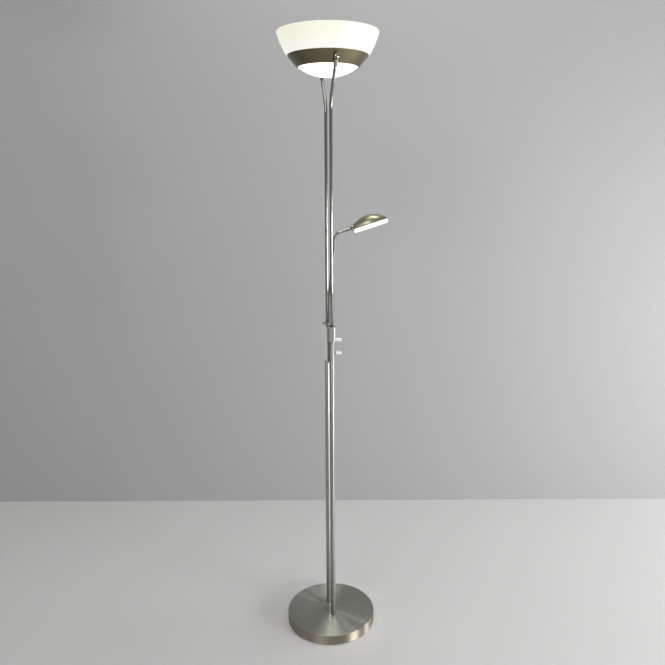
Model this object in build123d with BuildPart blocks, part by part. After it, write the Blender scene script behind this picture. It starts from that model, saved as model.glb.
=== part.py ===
from build123d import *
import os
from math import cos, degrees, pi, radians, sin, sqrt, tan

# Torchiere floor lamp with a reading light on a flexible arm. Millimetres, +Z up.
# Origin: centre of the base on the floor. The two columns stand in the Y-Z plane,
# the knobs and the reading light point to +X.

# ---------------------------------------------------------------- driving sizes
# base
base_radius = 140.0
base_height = 32.0
base_edge_radius = 2.0
cover_wall = 1.2
cover_floor_gap = 1.0
felt_inset = 6.0
felt_thick = 2.0
plate_thick = 1.0
plate_rim_gap = 1.0
weight_thick = 14.0
weight_rim_gap = 3.0
nut_pocket_radius = 13.0
nut_pocket_depth = 7.0
stud_radius = 5.0
stud_bore = 3.5
stud_plug_length = 20.0
stud_nut_size = 17.0
stud_nut_thick = 4.4
stud_washer_radius = 10.5
stud_washer_thick = 1.5
sleeve_radius = 8.0
plate_screw_radius = 2.0
plate_screw_circle = 92.0
plate_screw_length = 9.0
plate_screw_head = 3.8
plate_screw_head_thick = 1.4
plate_screw_count = 4
driver_size = (42.0, 104.0, 11.5)
driver_offset = -68.0
terminal_size = (16.0, 30.0, 10.5)
terminal_offset = 62.0
gland_height = 12.0
gland_bore = 3.2
gland_neck = 4.6
gland_flange = 6.8
gland_flange_thick = 1.8
lead_channel_width = 10.0

# columns
column_spacing = 66.0
lower_tube_radius = 7.5
lower_tube_wall = 1.5
upper_rod_radius = 4.5
upper_rod_wall = 1.0

# control housing
block_top = 990.0
block_height = 45.0
block_left = 15.0
block_half_depth = 43.5
block_corner = 6.5
box_height = 66.0
box_left = 11.5
box_half_depth = 24.5
housing_right = 10.2
housing_wall = 1.6
housing_edge = 1.6
cavity_half_depth = 22.0
cavity_roof = 7.0
lower_tube_grip = 22.0
upper_rod_grip = 15.0
chamber_radius = 5.2
boss_radius = 4.5
housing_screw_radius = 1.5
housing_screw_head = 2.9
housing_screw_head_depth = 2.2
housing_screw_tip = 7.5
upper_screw_drop = 25.0
lower_screw_drop = 69.0

# controls
main_knob_drop = 49.0
reading_knob_drop = 89.0
knob_radius = 5.5
knob_start = 19.5
knob_end = 36.0
knob_bore_depth = 11.0
knob_edge = 0.8
dimmer_body = 14.0
dimmer_back = -4.5
dimmer_bush_radius = 3.5
dimmer_bush_end = 16.0
dimmer_nut_size = 10.0
dimmer_nut_thick = 2.4
dimmer_shaft_radius = 3.0
dimmer_shaft_back = 5.0
board_thick = 1.6
board_half_depth = 18.0
board_height = 67.0
board_drop = 35.0

# uplighter
tilt_axis_height = 1721.0
bowl_height = 59.6
rim_radius = 139.7
rim_slope = 15.0
glass_wall = 3.5
glass_proud = 1.1
ring_top_radius = 112.3
ring_bottom_radius = 85.0
ring_height = 30.8
ring_drop = 11.4
ring_wall = 1.2
ring_lip_width = 2.6
ring_lip_thick = 2.0
ledge_drop = 3.4
ledge_inset = 15.3
ledge_thick = 1.2
gasket_inset = 7.7
gasket_thick = 1.0
diffuser_gap = 1.2
diffuser_thick = 2.0
dish_depth = 24.8
dish_wall = 3.0
dish_flange_thick = 2.5
retainer_width = 4.2
retainer_thick = 0.8
retainer_gap = 14.0
bar_half_width = 12.0
bar_thick = 3.0
bar_boss_radius = 5.5
bar_boss_length = 20.0
bar_boss_inset = 12.0
carrier_radius = 72.0
carrier_thick = 4.0
carrier_rim = 3.0
led_board_radius = 62.0
led_board_thick = 1.6
led_size = 3.2
led_height = 0.8
led_ring_radius = 46.0
led_count = 16
down_board_radius = 44.0
down_board_bore = 14.0
down_led_ring = 30.0
down_led_count = 10
carrier_screw_radius = 1.5
carrier_screw_head = 2.8
carrier_screw_spacing = 104.0
carrier_screw_length = 8.6

# pivots at the rod ends
pivot_washer_radius = 5.5
pivot_washer_thick = 1.0
eye_radius = 6.5
eye_length = 7.5
eye_neck_radius = 5.8
eye_neck_reach = 24.0
eye_socket_depth = 10.0
eye_boss_clearance = 2.7
pivot_screw_radius = 2.5
pivot_screw_thread = 12.0
pivot_head_radius = 6.8
pivot_head_height = 4.2
pivot_head_edge = 1.0
rod_bend_angle = 36.0
rod_bend_radius = 100.0

# flexible arm, its centre line lies in the X-Z plane
arm_radius = 4.2
arm_socket_radius = 6.8
arm_socket_height = 7.0
arm_spigot_radius = 3.0
arm_socket_spigot = 5.0
arm_retainer_radius = 4.4
arm_stem_height = 105.0
arm_lean_angle = 8.0
arm_lean_height = 110.0
arm_upright_height = 33.7
arm_curl_angle = 72.5
arm_curl_radius = 24.0
arm_tip_length = 40.2
ball_radius = 3.3
ball_gap = 0.3
link_start_gap = 0.5
link_end_gap = 2.2

# reading head
head_tilt = 16.3
head_roll = 9.0
head_length = 103.0
head_neck_width = 14.0
head_half_width = 38.0
head_neck_height = 14.0
head_height = 28.5
head_widest = 58.0
head_highest = 45.0
head_wall = 1.4
dome_sections = 8
dome_end_share = 0.998
head_collar_radius = 7.7
head_collar_length = 8.0
head_collar_drop = 5.5
head_neck_wall = 0.8
lens_depth = 10.0
lens_inset = 1.6
lens_wall = 1.8
lens_edge = 3.0
lens_corner = 8.0
head_tray_depth = 3.0
head_board_thick = 1.2
head_led_size = 3.0
head_led_spacing = 13.0

# fits
fit_gap = 0.05
seat_gap = 0.1
moving_gap = 0.3

# ---------------------------------------------------------------- derived places
column_offset = column_spacing / 2
plate_bottom = felt_thick
weight_bottom = plate_bottom + plate_thick
weight_top = weight_bottom + weight_thick
cover_inside = base_height - cover_wall
felt_radius = base_radius - felt_inset
weight_radius = base_radius - cover_wall - weight_rim_gap
block_bottom = block_top - block_height
box_bottom = block_bottom - box_height
cavity_top = block_top - cavity_roof
lower_tube_top = block_bottom + lower_tube_grip
upper_rod_bottom = block_top - upper_rod_grip
housing_screw_places = (
    (block_top - lower_screw_drop, box_left),
    (block_top - upper_screw_drop, block_left),
)
knob_heights = (block_top - main_knob_drop, block_top - reading_knob_drop)
ring_bottom_height = tilt_axis_height - ring_drop
ring_top_height = ring_bottom_height + ring_height
ledge_height = ring_top_height - ledge_drop
dish_bottom = ring_bottom_height - dish_depth
rim_height = ring_top_height + bowl_height
ring_lip_radius = ring_bottom_radius - ring_lip_width
ledge_inner_radius = ring_top_radius - ledge_inset
gasket_inner_radius = ring_top_radius - gasket_inset
diffuser_radius = gasket_inner_radius - diffuser_gap
bar_boss_face = ring_top_radius - bar_boss_inset
arm_lean_start = block_top + arm_stem_height
arm_lean_end = arm_lean_start + arm_lean_height
arm_curl_start = arm_lean_end + arm_upright_height

os.makedirs("parts", exist_ok=True)


def column_places(z):
    """The two column axes at height z, front first."""
    return Locations((0, -column_offset, z), (0, column_offset, z))


def x_plane(x):
    """A sketch plane across the X axis: local x is Y, local y is Z."""
    return Plane(origin=(x, 0, 0), x_dir=(0, 1, 0), z_dir=(1, 0, 0))


def y_plane(y, z=0.0):
    """A sketch plane across the Y axis at height z: local x is X, local y is Z."""
    return Plane(origin=(0, y, z), x_dir=(1, 0, 0), z_dir=(0, -1, 0))


# ---------------------------------------------------------------- base
with BuildPart() as base_cover:
    with BuildSketch(Plane.XZ) as cover_profile:
        with BuildLine() as cover_line:
            cover_outer = Polyline(
                (0, base_height),
                (base_radius, base_height),
                (base_radius, cover_floor_gap),
            )
            Line(cover_outer @ 1, (base_radius - cover_wall, cover_floor_gap))
            Polyline(
                (base_radius - cover_wall, cover_floor_gap),
                (base_radius - cover_wall, cover_inside),
                (0, cover_inside),
                (0, base_height),
            )
        make_face()
        rim_corners = cover_profile.vertices().group_by(Axis.X)[-1]
        fillet(rim_corners.sort_by(Axis.Y)[-1], base_edge_radius)
    revolve(axis=Axis.Z)
    with column_places(base_height):
        Hole(stud_radius + seat_gap, depth=2 * cover_wall)
    with BuildSketch(y_plane(base_radius + cover_wall, gland_height)):
        Circle(gland_neck + fit_gap)
    extrude(amount=4 * cover_wall, mode=Mode.SUBTRACT)
base_cover.part.label = "base_cover"
export_step(base_cover.part, "parts/base_cover.step")

with BuildPart() as base_weight:
    with BuildSketch(Plane.XY.offset(weight_bottom)):
        Circle(weight_radius)
        with column_places(0):
            Circle(stud_radius + seat_gap, mode=Mode.SUBTRACT)
    extrude(amount=weight_thick)
    with BuildSketch(Plane.XY.offset(weight_bottom)):
        with column_places(0):
            Circle(nut_pocket_radius)
    extrude(amount=nut_pocket_depth, mode=Mode.SUBTRACT)
    with BuildSketch(Plane.XY.offset(weight_top)):
        with Locations((0, (weight_radius + column_offset) / 2 + sleeve_radius)):
            Rectangle(lead_channel_width, weight_radius - column_offset - 2 * sleeve_radius)
    extrude(amount=-(weight_top - gland_height + gland_neck), mode=Mode.SUBTRACT)
    with BuildSketch(Plane.XY.offset(weight_bottom)):
        with PolarLocations(plate_screw_circle, plate_screw_count, start_angle=45):
            Circle(plate_screw_radius + fit_gap)
    extrude(amount=plate_screw_length, mode=Mode.SUBTRACT)
base_weight.part.label = "base_weight"
export_step(base_weight.part, "parts/base_weight.step")

with BuildPart() as base_plate:
    with BuildSketch(Plane.XY.offset(plate_bottom)):
        Circle(base_radius - cover_wall - plate_rim_gap)
        with PolarLocations(plate_screw_circle, plate_screw_count, start_angle=45):
            Circle(plate_screw_radius + seat_gap, mode=Mode.SUBTRACT)
    extrude(amount=plate_thick)
base_plate.part.label = "base_plate"
export_step(base_plate.part, "parts/base_plate.step")

with BuildPart() as base_felt:
    with BuildSketch(Plane.XY):
        Circle(felt_radius)
        with PolarLocations(plate_screw_circle, plate_screw_count, start_angle=45):
            Circle(plate_screw_head + moving_gap, mode=Mode.SUBTRACT)
    extrude(amount=felt_thick)
base_felt.part.label = "base_felt"
export_step(base_felt.part, "parts/base_felt.step")

with BuildPart() as plate_screws:
    with BuildSketch(Plane.XY.offset(plate_bottom)):
        with PolarLocations(plate_screw_circle, plate_screw_count, start_angle=45):
            Circle(plate_screw_radius)
    extrude(amount=plate_screw_length)
    with BuildSketch(Plane.XY.offset(plate_bottom)):
        with PolarLocations(plate_screw_circle, plate_screw_count, start_angle=45):
            Circle(plate_screw_head)
    extrude(amount=-plate_screw_head_thick)
plate_screws.part.label = "plate_screws"
export_step(plate_screws.part, "parts/plate_screws.step")

stud_bottom = weight_bottom + nut_pocket_depth - stud_washer_thick - stud_nut_thick
with BuildPart() as tube_studs:
    with BuildSketch(Plane.XY.offset(base_height)):
        with column_places(0):
            Circle(lower_tube_radius - lower_tube_wall - fit_gap)
    extrude(amount=stud_plug_length)
    with BuildSketch(Plane.XY.offset(stud_bottom)):
        with column_places(0):
            Circle(stud_radius)
    extrude(amount=base_height - stud_bottom)
    with BuildSketch(Plane.XY.offset(stud_bottom)):
        with column_places(0):
            Circle(stud_bore)
    extrude(amount=base_height - stud_bottom + stud_plug_length, mode=Mode.SUBTRACT)
tube_studs.part.label = "tube_studs"
export_step(tube_studs.part, "parts/tube_studs.step")

with BuildPart() as spacer_sleeves:
    with BuildSketch(Plane.XY.offset(weight_top)):
        with column_places(0):
            Circle(sleeve_radius)
            Circle(stud_radius + seat_gap, mode=Mode.SUBTRACT)
    extrude(amount=cover_inside - weight_top)
spacer_sleeves.part.label = "spacer_sleeves"
export_step(spacer_sleeves.part, "parts/spacer_sleeves.step")

washer_top = weight_bottom + nut_pocket_depth
with BuildPart() as stud_washers:
    with BuildSketch(Plane.XY.offset(washer_top)):
        with column_places(0):
            Circle(stud_washer_radius)
            Circle(stud_radius + seat_gap, mode=Mode.SUBTRACT)
    extrude(amount=-stud_washer_thick)
stud_washers.part.label = "stud_washers"
export_step(stud_washers.part, "parts/stud_washers.step")

with BuildPart() as stud_nuts:
    with BuildSketch(Plane.XY.offset(stud_bottom)):
        with column_places(0):
            RegularPolygon(stud_nut_size / 2, 6, major_radius=False)
            Circle(stud_radius + fit_gap, mode=Mode.SUBTRACT)
    extrude(amount=stud_nut_thick)
stud_nuts.part.label = "stud_nuts"
export_step(stud_nuts.part, "parts/stud_nuts.step")

with BuildPart() as led_driver:
    with BuildSketch(Plane.XY.offset(weight_top)):
        with Locations((driver_offset, 0)):
            RectangleRounded(driver_size[0], driver_size[1], 3)
    extrude(amount=driver_size[2])
    fillet(led_driver.faces().sort_by(Axis.Z)[-1].edges(), 1.0)
led_driver.part.label = "led_driver"
export_step(led_driver.part, "parts/led_driver.step")

with BuildPart() as terminal_block:
    with BuildSketch(Plane.XY.offset(weight_top)):
        with Locations((terminal_offset, 0)):
            Rectangle(terminal_size[0], terminal_size[1])
    extrude(amount=terminal_size[2])
    with BuildSketch(x_plane(terminal_offset + terminal_size[0])):
        with Locations((0, weight_top + terminal_size[2] / 2)):
            with GridLocations(terminal_size[1] / 3, 0, 3, 1):
                Circle(terminal_size[2] / 4)
    extrude(amount=-2 * terminal_size[0], mode=Mode.SUBTRACT)
terminal_block.part.label = "terminal_block"
export_step(terminal_block.part, "parts/terminal_block.step")

gland_face = base_radius + gland_flange_thick
with BuildPart() as cable_gland:
    with BuildSketch(y_plane(gland_face, gland_height)):
        Circle(gland_flange)
    extrude(amount=gland_face - base_radius - seat_gap)
    fillet(cable_gland.faces().sort_by(Axis.Y)[-1].edges(), 1.0)
    with BuildSketch(y_plane(base_radius + seat_gap, gland_height)):
        Circle(gland_neck)
    extrude(amount=4 * cover_wall)
    with BuildSketch(y_plane(gland_face, gland_height)):
        Circle(gland_bore)
    extrude(amount=8 * cover_wall, mode=Mode.SUBTRACT)
cable_gland.part.label = "cable_gland"
export_step(cable_gland.part, "parts/cable_gland.step")

# ---------------------------------------------------------------- lower tubes
for tube_name, tube_side in (("front", -1), ("back", 1)):
    with BuildPart() as lower_tube:
        with BuildSketch(Plane.XY.offset(base_height)):
            with Locations((0, tube_side * column_offset)):
                Circle(lower_tube_radius)
                Circle(lower_tube_radius - lower_tube_wall, mode=Mode.SUBTRACT)
        extrude(amount=lower_tube_top - base_height)
    lower_tube.part.label = "lower_tube_" + tube_name
    export_step(lower_tube.part, f"parts/lower_tube_{tube_name}.step")


# ---------------------------------------------------------------- control housing
def housing_half(side):
    """One half shell of the control housing; side is +1 for the knob side, -1 for the plain side."""
    with BuildPart() as half:
        with BuildSketch(Plane.XY.offset(block_bottom)):
            with Locations(((housing_right - block_left) / 2, 0)):
                RectangleRounded(housing_right + block_left, 2 * block_half_depth, block_corner)
        extrude(amount=block_height)
        fillet(half.faces().sort_by(Axis.Z)[-1].edges(), housing_edge)
        with BuildSketch(Plane.XY.offset(box_bottom)):
            with Locations(((housing_right - box_left) / 2, 0)):
                Rectangle(housing_right + box_left, 2 * box_half_depth)
        extrude(amount=box_height)
        lower_edges = half.edges().filter_by(Axis.Z).filter_by_position(
            Axis.Z, box_bottom, block_bottom
        )
        fillet(lower_edges, housing_edge)
        fillet(half.faces().sort_by(Axis.Z)[0].edges(), housing_edge)
        with BuildSketch(Plane.XY.offset(box_bottom + housing_wall)):
            with Locations(((housing_right - box_left) / 2, 0)):
                Rectangle(housing_right + box_left - 2 * housing_wall, 2 * cavity_half_depth)
        extrude(amount=cavity_top - box_bottom - housing_wall, mode=Mode.SUBTRACT)
        with BuildSketch(Plane.XY.offset(block_bottom)):
            with column_places(0):
                Circle(lower_tube_radius + fit_gap)
        extrude(amount=lower_tube_grip, mode=Mode.SUBTRACT)
        with BuildSketch(Plane.XY.offset(lower_tube_top)):
            with column_places(0):
                Circle(chamber_radius)
            Rectangle(chamber_radius, column_spacing)
        extrude(amount=upper_rod_bottom - lower_tube_top, mode=Mode.SUBTRACT)
        with BuildSketch(Plane.XY.offset(upper_rod_bottom)):
            with column_places(0):
                Circle(upper_rod_radius + fit_gap)
            Circle(arm_socket_spigot + fit_gap)
        extrude(amount=upper_rod_grip, mode=Mode.SUBTRACT)
        for screw_height, screw_face in housing_screw_places:
            with BuildSketch(x_plane(-screw_face)):
                with Locations((0, screw_height)):
                    Circle(boss_radius)
            extrude(amount=screw_face + housing_right)
            with BuildSketch(x_plane(-screw_face)):
                with Locations((0, screw_height)):
                    Circle(housing_screw_radius + fit_gap)
            extrude(amount=screw_face + housing_screw_tip, mode=Mode.SUBTRACT)
            with BuildSketch(x_plane(-screw_face)):
                with Locations((0, screw_height)):
                    Circle(housing_screw_head + seat_gap)
            extrude(amount=housing_screw_head_depth, mode=Mode.SUBTRACT)
        with BuildSketch(x_plane(housing_right - 2 * housing_wall)):
            with Locations(*[(0, z) for z in knob_heights]):
                Circle(dimmer_bush_radius + fit_gap)
        extrude(amount=4 * housing_wall, mode=Mode.SUBTRACT)
        split(bisect_by=Plane.YZ, keep=Keep.TOP if side > 0 else Keep.BOTTOM)
    return half.part


housing_knob_side = housing_half(1)
housing_knob_side.label = "housing_knob_side"
export_step(housing_knob_side, "parts/housing_knob_side.step")
housing_plain_side = housing_half(-1)
housing_plain_side.label = "housing_plain_side"
export_step(housing_plain_side, "parts/housing_plain_side.step")

with BuildPart() as housing_screws:
    for screw_height, screw_face in housing_screw_places:
        with BuildSketch(x_plane(-screw_face + housing_screw_head_depth)):
            with Locations((0, screw_height)):
                Circle(housing_screw_head)
        extrude(amount=-housing_screw_head_depth + seat_gap)
        with BuildSketch(x_plane(-screw_face + housing_screw_head_depth)):
            with Locations((0, screw_height)):
                Circle(housing_screw_radius)
        extrude(amount=screw_face - housing_screw_head_depth + housing_screw_tip - seat_gap)
        with BuildSketch(x_plane(-screw_face)):
            with Locations((0, screw_height)):
                RegularPolygon(housing_screw_radius * 0.9, 6)
        extrude(amount=housing_screw_head_depth * 0.7, mode=Mode.SUBTRACT)
housing_screws.part.label = "housing_screws"
export_step(housing_screws.part, "parts/housing_screws.step")

# ---------------------------------------------------------------- controls
with BuildPart() as control_board:
    with BuildSketch(x_plane(dimmer_back)):
        with Locations((0, block_top - board_drop - board_height / 2)):
            Rectangle(2 * board_half_depth, board_height)
        with Locations((0, block_top - lower_screw_drop)):
            Circle(boss_radius + moving_gap, mode=Mode.SUBTRACT)
    extrude(amount=-board_thick)
control_board.part.label = "control_board"
export_step(control_board.part, "parts/control_board.step")

dimmer_front = housing_right - housing_wall
for dimmer_name, dimmer_z in zip(("main", "reading"), knob_heights):
    with BuildPart() as dimmer:
        with BuildSketch(x_plane(dimmer_back)):
            with Locations((0, dimmer_z)):
                RectangleRounded(dimmer_body, dimmer_body, 1)
        extrude(amount=dimmer_front - dimmer_back)
        with BuildSketch(x_plane(dimmer_front)):
            with Locations((0, dimmer_z)):
                Circle(dimmer_bush_radius)
        extrude(amount=dimmer_bush_end - dimmer_front)
        with BuildSketch(x_plane(dimmer_bush_end)):
            with Locations((0, dimmer_z)):
                Circle(dimmer_shaft_radius + fit_gap)
        extrude(amount=-(dimmer_bush_end - dimmer_shaft_back + seat_gap), mode=Mode.SUBTRACT)
    dimmer.part.label = "dimmer_" + dimmer_name
    export_step(dimmer.part, f"parts/dimmer_{dimmer_name}.step")

    with BuildPart() as dimmer_nut:
        with BuildSketch(x_plane(housing_right)):
            with Locations((0, dimmer_z)):
                RegularPolygon(dimmer_nut_size / 2, 6, major_radius=False)
                Circle(dimmer_bush_radius + fit_gap, mode=Mode.SUBTRACT)
        extrude(amount=dimmer_nut_thick)
    dimmer_nut.part.label = "dimmer_nut_" + dimmer_name
    export_step(dimmer_nut.part, f"parts/dimmer_nut_{dimmer_name}.step")

    with BuildPart() as dimmer_shaft:
        with BuildSketch(x_plane(dimmer_shaft_back)):
            with Locations((0, dimmer_z)):
                Circle(dimmer_shaft_radius)
        extrude(amount=knob_start + knob_bore_depth - dimmer_shaft_back - seat_gap)
    dimmer_shaft.part.label = "dimmer_shaft_" + dimmer_name
    export_step(dimmer_shaft.part, f"parts/dimmer_shaft_{dimmer_name}.step")

    with BuildPart() as knob:
        with BuildSketch(x_plane(knob_start)):
            with Locations((0, dimmer_z)):
                Circle(knob_radius)
        extrude(amount=knob_end - knob_start)
        chamfer(knob.faces().sort_by(Axis.X)[-1].edges(), knob_edge)
        fillet(knob.faces().sort_by(Axis.X)[0].edges(), knob_edge / 2)
        with BuildSketch(x_plane(knob_start)):
            with Locations((0, dimmer_z)):
                Circle(dimmer_shaft_radius + fit_gap)
        extrude(amount=knob_bore_depth, mode=Mode.SUBTRACT)
    knob.part.label = "knob_" + dimmer_name
    export_step(knob.part, f"parts/knob_{dimmer_name}.step")

# ---------------------------------------------------------------- upper rods and pivots
eye_inner_face = bar_boss_face + pivot_washer_thick
eye_outer_face = eye_inner_face + eye_length
eye_centre = (eye_inner_face + eye_outer_face) / 2
rod_run = eye_centre - column_offset
rod_corner_height = tilt_axis_height - rod_run / tan(radians(rod_bend_angle))
rod_bend_tangent = rod_bend_radius * tan(radians(rod_bend_angle / 2))
rod_bend_bottom = rod_corner_height - rod_bend_tangent


def rod_point(side, back_from_eye):
    """A point on the slanting end of a rod, a distance back from the eye's centre."""
    out = eye_centre - back_from_eye * sin(radians(rod_bend_angle))
    up = tilt_axis_height - back_from_eye * cos(radians(rod_bend_angle))
    return (0, side * out, up)


def rod_end_plane(side, back_from_eye):
    """The plane across the slanting rod end, its normal towards the eye."""
    along = (0, side * sin(radians(rod_bend_angle)), cos(radians(rod_bend_angle)))
    return Plane(origin=rod_point(side, back_from_eye), x_dir=(1, 0, 0), z_dir=along)


rod_end_back = eye_neck_reach - eye_socket_depth
for rod_name, rod_side in (("front", -1), ("back", 1)):
    with BuildPart() as upper_rod:
        with BuildLine() as rod_path:
            straight = Line(
                (0, rod_side * column_offset, upper_rod_bottom),
                (0, rod_side * column_offset, rod_bend_bottom),
            )
            bend = TangentArc(
                straight @ 1,
                (
                    0,
                    rod_side * (column_offset + rod_bend_tangent * sin(radians(rod_bend_angle))),
                    rod_corner_height + rod_bend_tangent * cos(radians(rod_bend_angle)),
                ),
                tangent=(0, 0, 1),
            )
            Line(bend @ 1, rod_point(rod_side, rod_end_back + seat_gap))
        with BuildSketch(Plane.XY.offset(upper_rod_bottom)):
            with Locations((0, rod_side * column_offset)):
                Circle(upper_rod_radius)
                Circle(upper_rod_radius - upper_rod_wall, mode=Mode.SUBTRACT)
        sweep(path=rod_path.wires()[0])
    upper_rod.part.label = "upper_rod_" + rod_name
    export_step(upper_rod.part, f"parts/upper_rod_{rod_name}.step")

    with BuildPart() as pivot_eye:
        with BuildSketch(rod_end_plane(rod_side, eye_neck_reach)):
            Circle(eye_neck_radius)
        extrude(amount=eye_neck_reach - pivot_screw_radius)
        with BuildSketch(y_plane(rod_side * eye_inner_face, tilt_axis_height)):
            Circle(bar_boss_radius + eye_boss_clearance)
        extrude(amount=rod_side * eye_centre, mode=Mode.SUBTRACT)
        with BuildSketch(y_plane(rod_side * eye_outer_face, tilt_axis_height)):
            Circle(eye_radius + eye_neck_radius)
        extrude(amount=-rod_side * eye_centre, mode=Mode.SUBTRACT)
        with BuildSketch(y_plane(rod_side * eye_inner_face, tilt_axis_height)):
            Circle(eye_radius)
        extrude(amount=-rod_side * eye_length)
        with BuildSketch(y_plane(rod_side * eye_inner_face, tilt_axis_height)):
            Circle(pivot_screw_radius + fit_gap)
        extrude(amount=-rod_side * eye_length, mode=Mode.SUBTRACT)
        with BuildSketch(rod_end_plane(rod_side, eye_neck_reach)):
            Circle(upper_rod_radius + fit_gap)
        extrude(amount=eye_socket_depth, mode=Mode.SUBTRACT)
    pivot_eye.part.label = "pivot_eye_" + rod_name
    export_step(pivot_eye.part, f"parts/pivot_eye_{rod_name}.step")

with BuildPart() as pivot_washers:
    for washer_side in (-1, 1):
        with BuildSketch(y_plane(washer_side * bar_boss_face, tilt_axis_height)):
            Circle(pivot_washer_radius)
            Circle(pivot_screw_radius + seat_gap, mode=Mode.SUBTRACT)
        extrude(amount=-washer_side * pivot_washer_thick)
pivot_washers.part.label = "pivot_washers"
export_step(pivot_washers.part, "parts/pivot_washers.step")

with BuildPart() as pivot_screws:
    with BuildSketch(Plane.YZ) as pivot_profile:
        with BuildLine():
            head_base = eye_outer_face
            crown = TangentArc(
                (head_base + pivot_head_height, tilt_axis_height),
                (head_base + pivot_head_edge, tilt_axis_height + pivot_head_radius),
                tangent=(0, 1),
            )
            Polyline(
                crown @ 1,
                (head_base, tilt_axis_height + pivot_head_radius),
                (head_base, tilt_axis_height + pivot_screw_radius),
                (bar_boss_face - pivot_screw_thread, tilt_axis_height + pivot_screw_radius),
                (bar_boss_face - pivot_screw_thread, tilt_axis_height),
                crown @ 0,
            )
        make_face()
    revolve(axis=Axis((0, 0, tilt_axis_height), (0, 1, 0)))
    add(pivot_screws.part.rotate(Axis.Z, 180))
pivot_screws.part.label = "pivot_screws"
export_step(pivot_screws.part, "parts/pivot_screws.step")

# ---------------------------------------------------------------- uplighter
ring_slope = (ring_top_radius - ring_bottom_radius) / (ring_top_height - ring_bottom_height)
ring_wall_across = ring_wall * sqrt(1 + ring_slope**2)


def ring_inside(z):
    """Radius of the cone's inner face at height z."""
    return ring_bottom_radius + (z - ring_bottom_height) * ring_slope - ring_wall_across


with BuildPart() as shade_ring:
    with BuildSketch(Plane.XZ):
        with BuildLine():
            lip_top = ring_bottom_height + ring_lip_thick
            ledge_top = ledge_height + ledge_thick
            Polyline(
                (ring_lip_radius, ring_bottom_height),
                (ring_bottom_radius, ring_bottom_height),
                (ring_top_radius, ring_top_height),
                (ring_top_radius - ring_wall_across, ring_top_height),
                (ring_inside(ledge_top), ledge_top),
                (ledge_inner_radius, ledge_top),
                (ledge_inner_radius, ledge_height),
                (ring_inside(ledge_height), ledge_height),
                (ring_inside(lip_top), lip_top),
                (ring_lip_radius, lip_top),
                close=True,
            )
        make_face()
    revolve(axis=Axis.Z)
    with BuildSketch(y_plane(ring_top_radius, tilt_axis_height)):
        Circle(bar_boss_radius + moving_gap)
    extrude(amount=2 * ring_top_radius, mode=Mode.SUBTRACT)
shade_ring.part.label = "shade_ring"
export_step(shade_ring.part, "parts/shade_ring.step")

glass_foot = ledge_height + ledge_thick + gasket_thick
glass_foot_radius = ring_inside(glass_foot) - moving_gap
glass_step = ring_top_height + moving_gap
glass_step_radius = ring_top_radius + glass_proud


def shade_curve(inset):
    """The bowl's side from the step to the rim, inset by a wall thickness; it ends near upright."""
    foot = (glass_step_radius - inset, glass_step)
    rim = (rim_radius - inset, rim_height)
    return TangentArc(rim, foot, tangent=(-sin(radians(rim_slope)), -cos(radians(rim_slope))))


with BuildPart() as glass_shade:
    with BuildSketch(Plane.XZ) as glass_profile:
        with BuildLine():
            outside = shade_curve(0.0)
            inside = shade_curve(glass_wall)
            Line(outside @ 0, inside @ 0)
            Polyline(
                outside @ 1,
                (glass_foot_radius, glass_step),
                (glass_foot_radius, glass_foot),
                (gasket_inner_radius, glass_foot),
                (gasket_inner_radius, glass_foot + glass_wall),
                inside @ 1,
            )
        make_face()
        fillet(glass_profile.vertices().sort_by(Axis.Y)[-2:], glass_wall * 0.4)
    revolve(axis=Axis.Z)
glass_shade.part.label = "glass_shade"
export_step(glass_shade.part, "parts/glass_shade.step")

with BuildPart() as glass_gasket:
    with BuildSketch(Plane.XY.offset(ledge_top)):
        Circle(ring_inside(ledge_top) - seat_gap)
        Circle(gasket_inner_radius, mode=Mode.SUBTRACT)
    extrude(amount=gasket_thick)
glass_gasket.part.label = "glass_gasket"
export_step(glass_gasket.part, "parts/glass_gasket.step")

dish_seat = lip_top + seat_gap
dish_neck_radius = ring_lip_radius - moving_gap
dish_flange_radius = ring_inside(dish_seat) - moving_gap
dish_top = dish_seat + dish_flange_thick
with BuildPart() as glass_dish:
    with BuildSketch(Plane.XZ):
        with BuildLine():
            dish_edge_height = ring_bottom_height + 1.2
            cap_depth = dish_edge_height - dish_bottom
            cap_radius = (dish_neck_radius**2 + cap_depth**2) / (2 * cap_depth)
            inner_radius = cap_radius - dish_wall
            cap_centre = dish_bottom + cap_radius
            inner_reach = sqrt(inner_radius**2 - (cap_centre - dish_top) ** 2)
            outer_cap = RadiusArc((0, dish_bottom), (dish_neck_radius, dish_edge_height), -cap_radius)
            inner_cap = RadiusArc((0, dish_bottom + dish_wall), (inner_reach, dish_top), -inner_radius)
            Polyline(
                outer_cap @ 1,
                (dish_neck_radius, dish_seat),
                (dish_flange_radius, dish_seat),
                (dish_flange_radius, dish_top),
                inner_cap @ 1,
            )
            Line(outer_cap @ 0, inner_cap @ 0)
        make_face()
    revolve(axis=Axis.Z)
glass_dish.part.label = "glass_dish"
export_step(glass_dish.part, "parts/glass_dish.step")

retainer_bottom = dish_top + seat_gap
retainer_radius = ring_inside(retainer_bottom) - seat_gap
with BuildPart() as dish_retainer:
    with BuildSketch(Plane.XY.offset(retainer_bottom)):
        Circle(retainer_radius)
        Circle(retainer_radius - retainer_width, mode=Mode.SUBTRACT)
        with Locations((retainer_radius, 0)):
            Rectangle(4 * retainer_width, retainer_gap, mode=Mode.SUBTRACT)
    extrude(amount=retainer_thick)
dish_retainer.part.label = "dish_retainer"
export_step(dish_retainer.part, "parts/dish_retainer.step")

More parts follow.
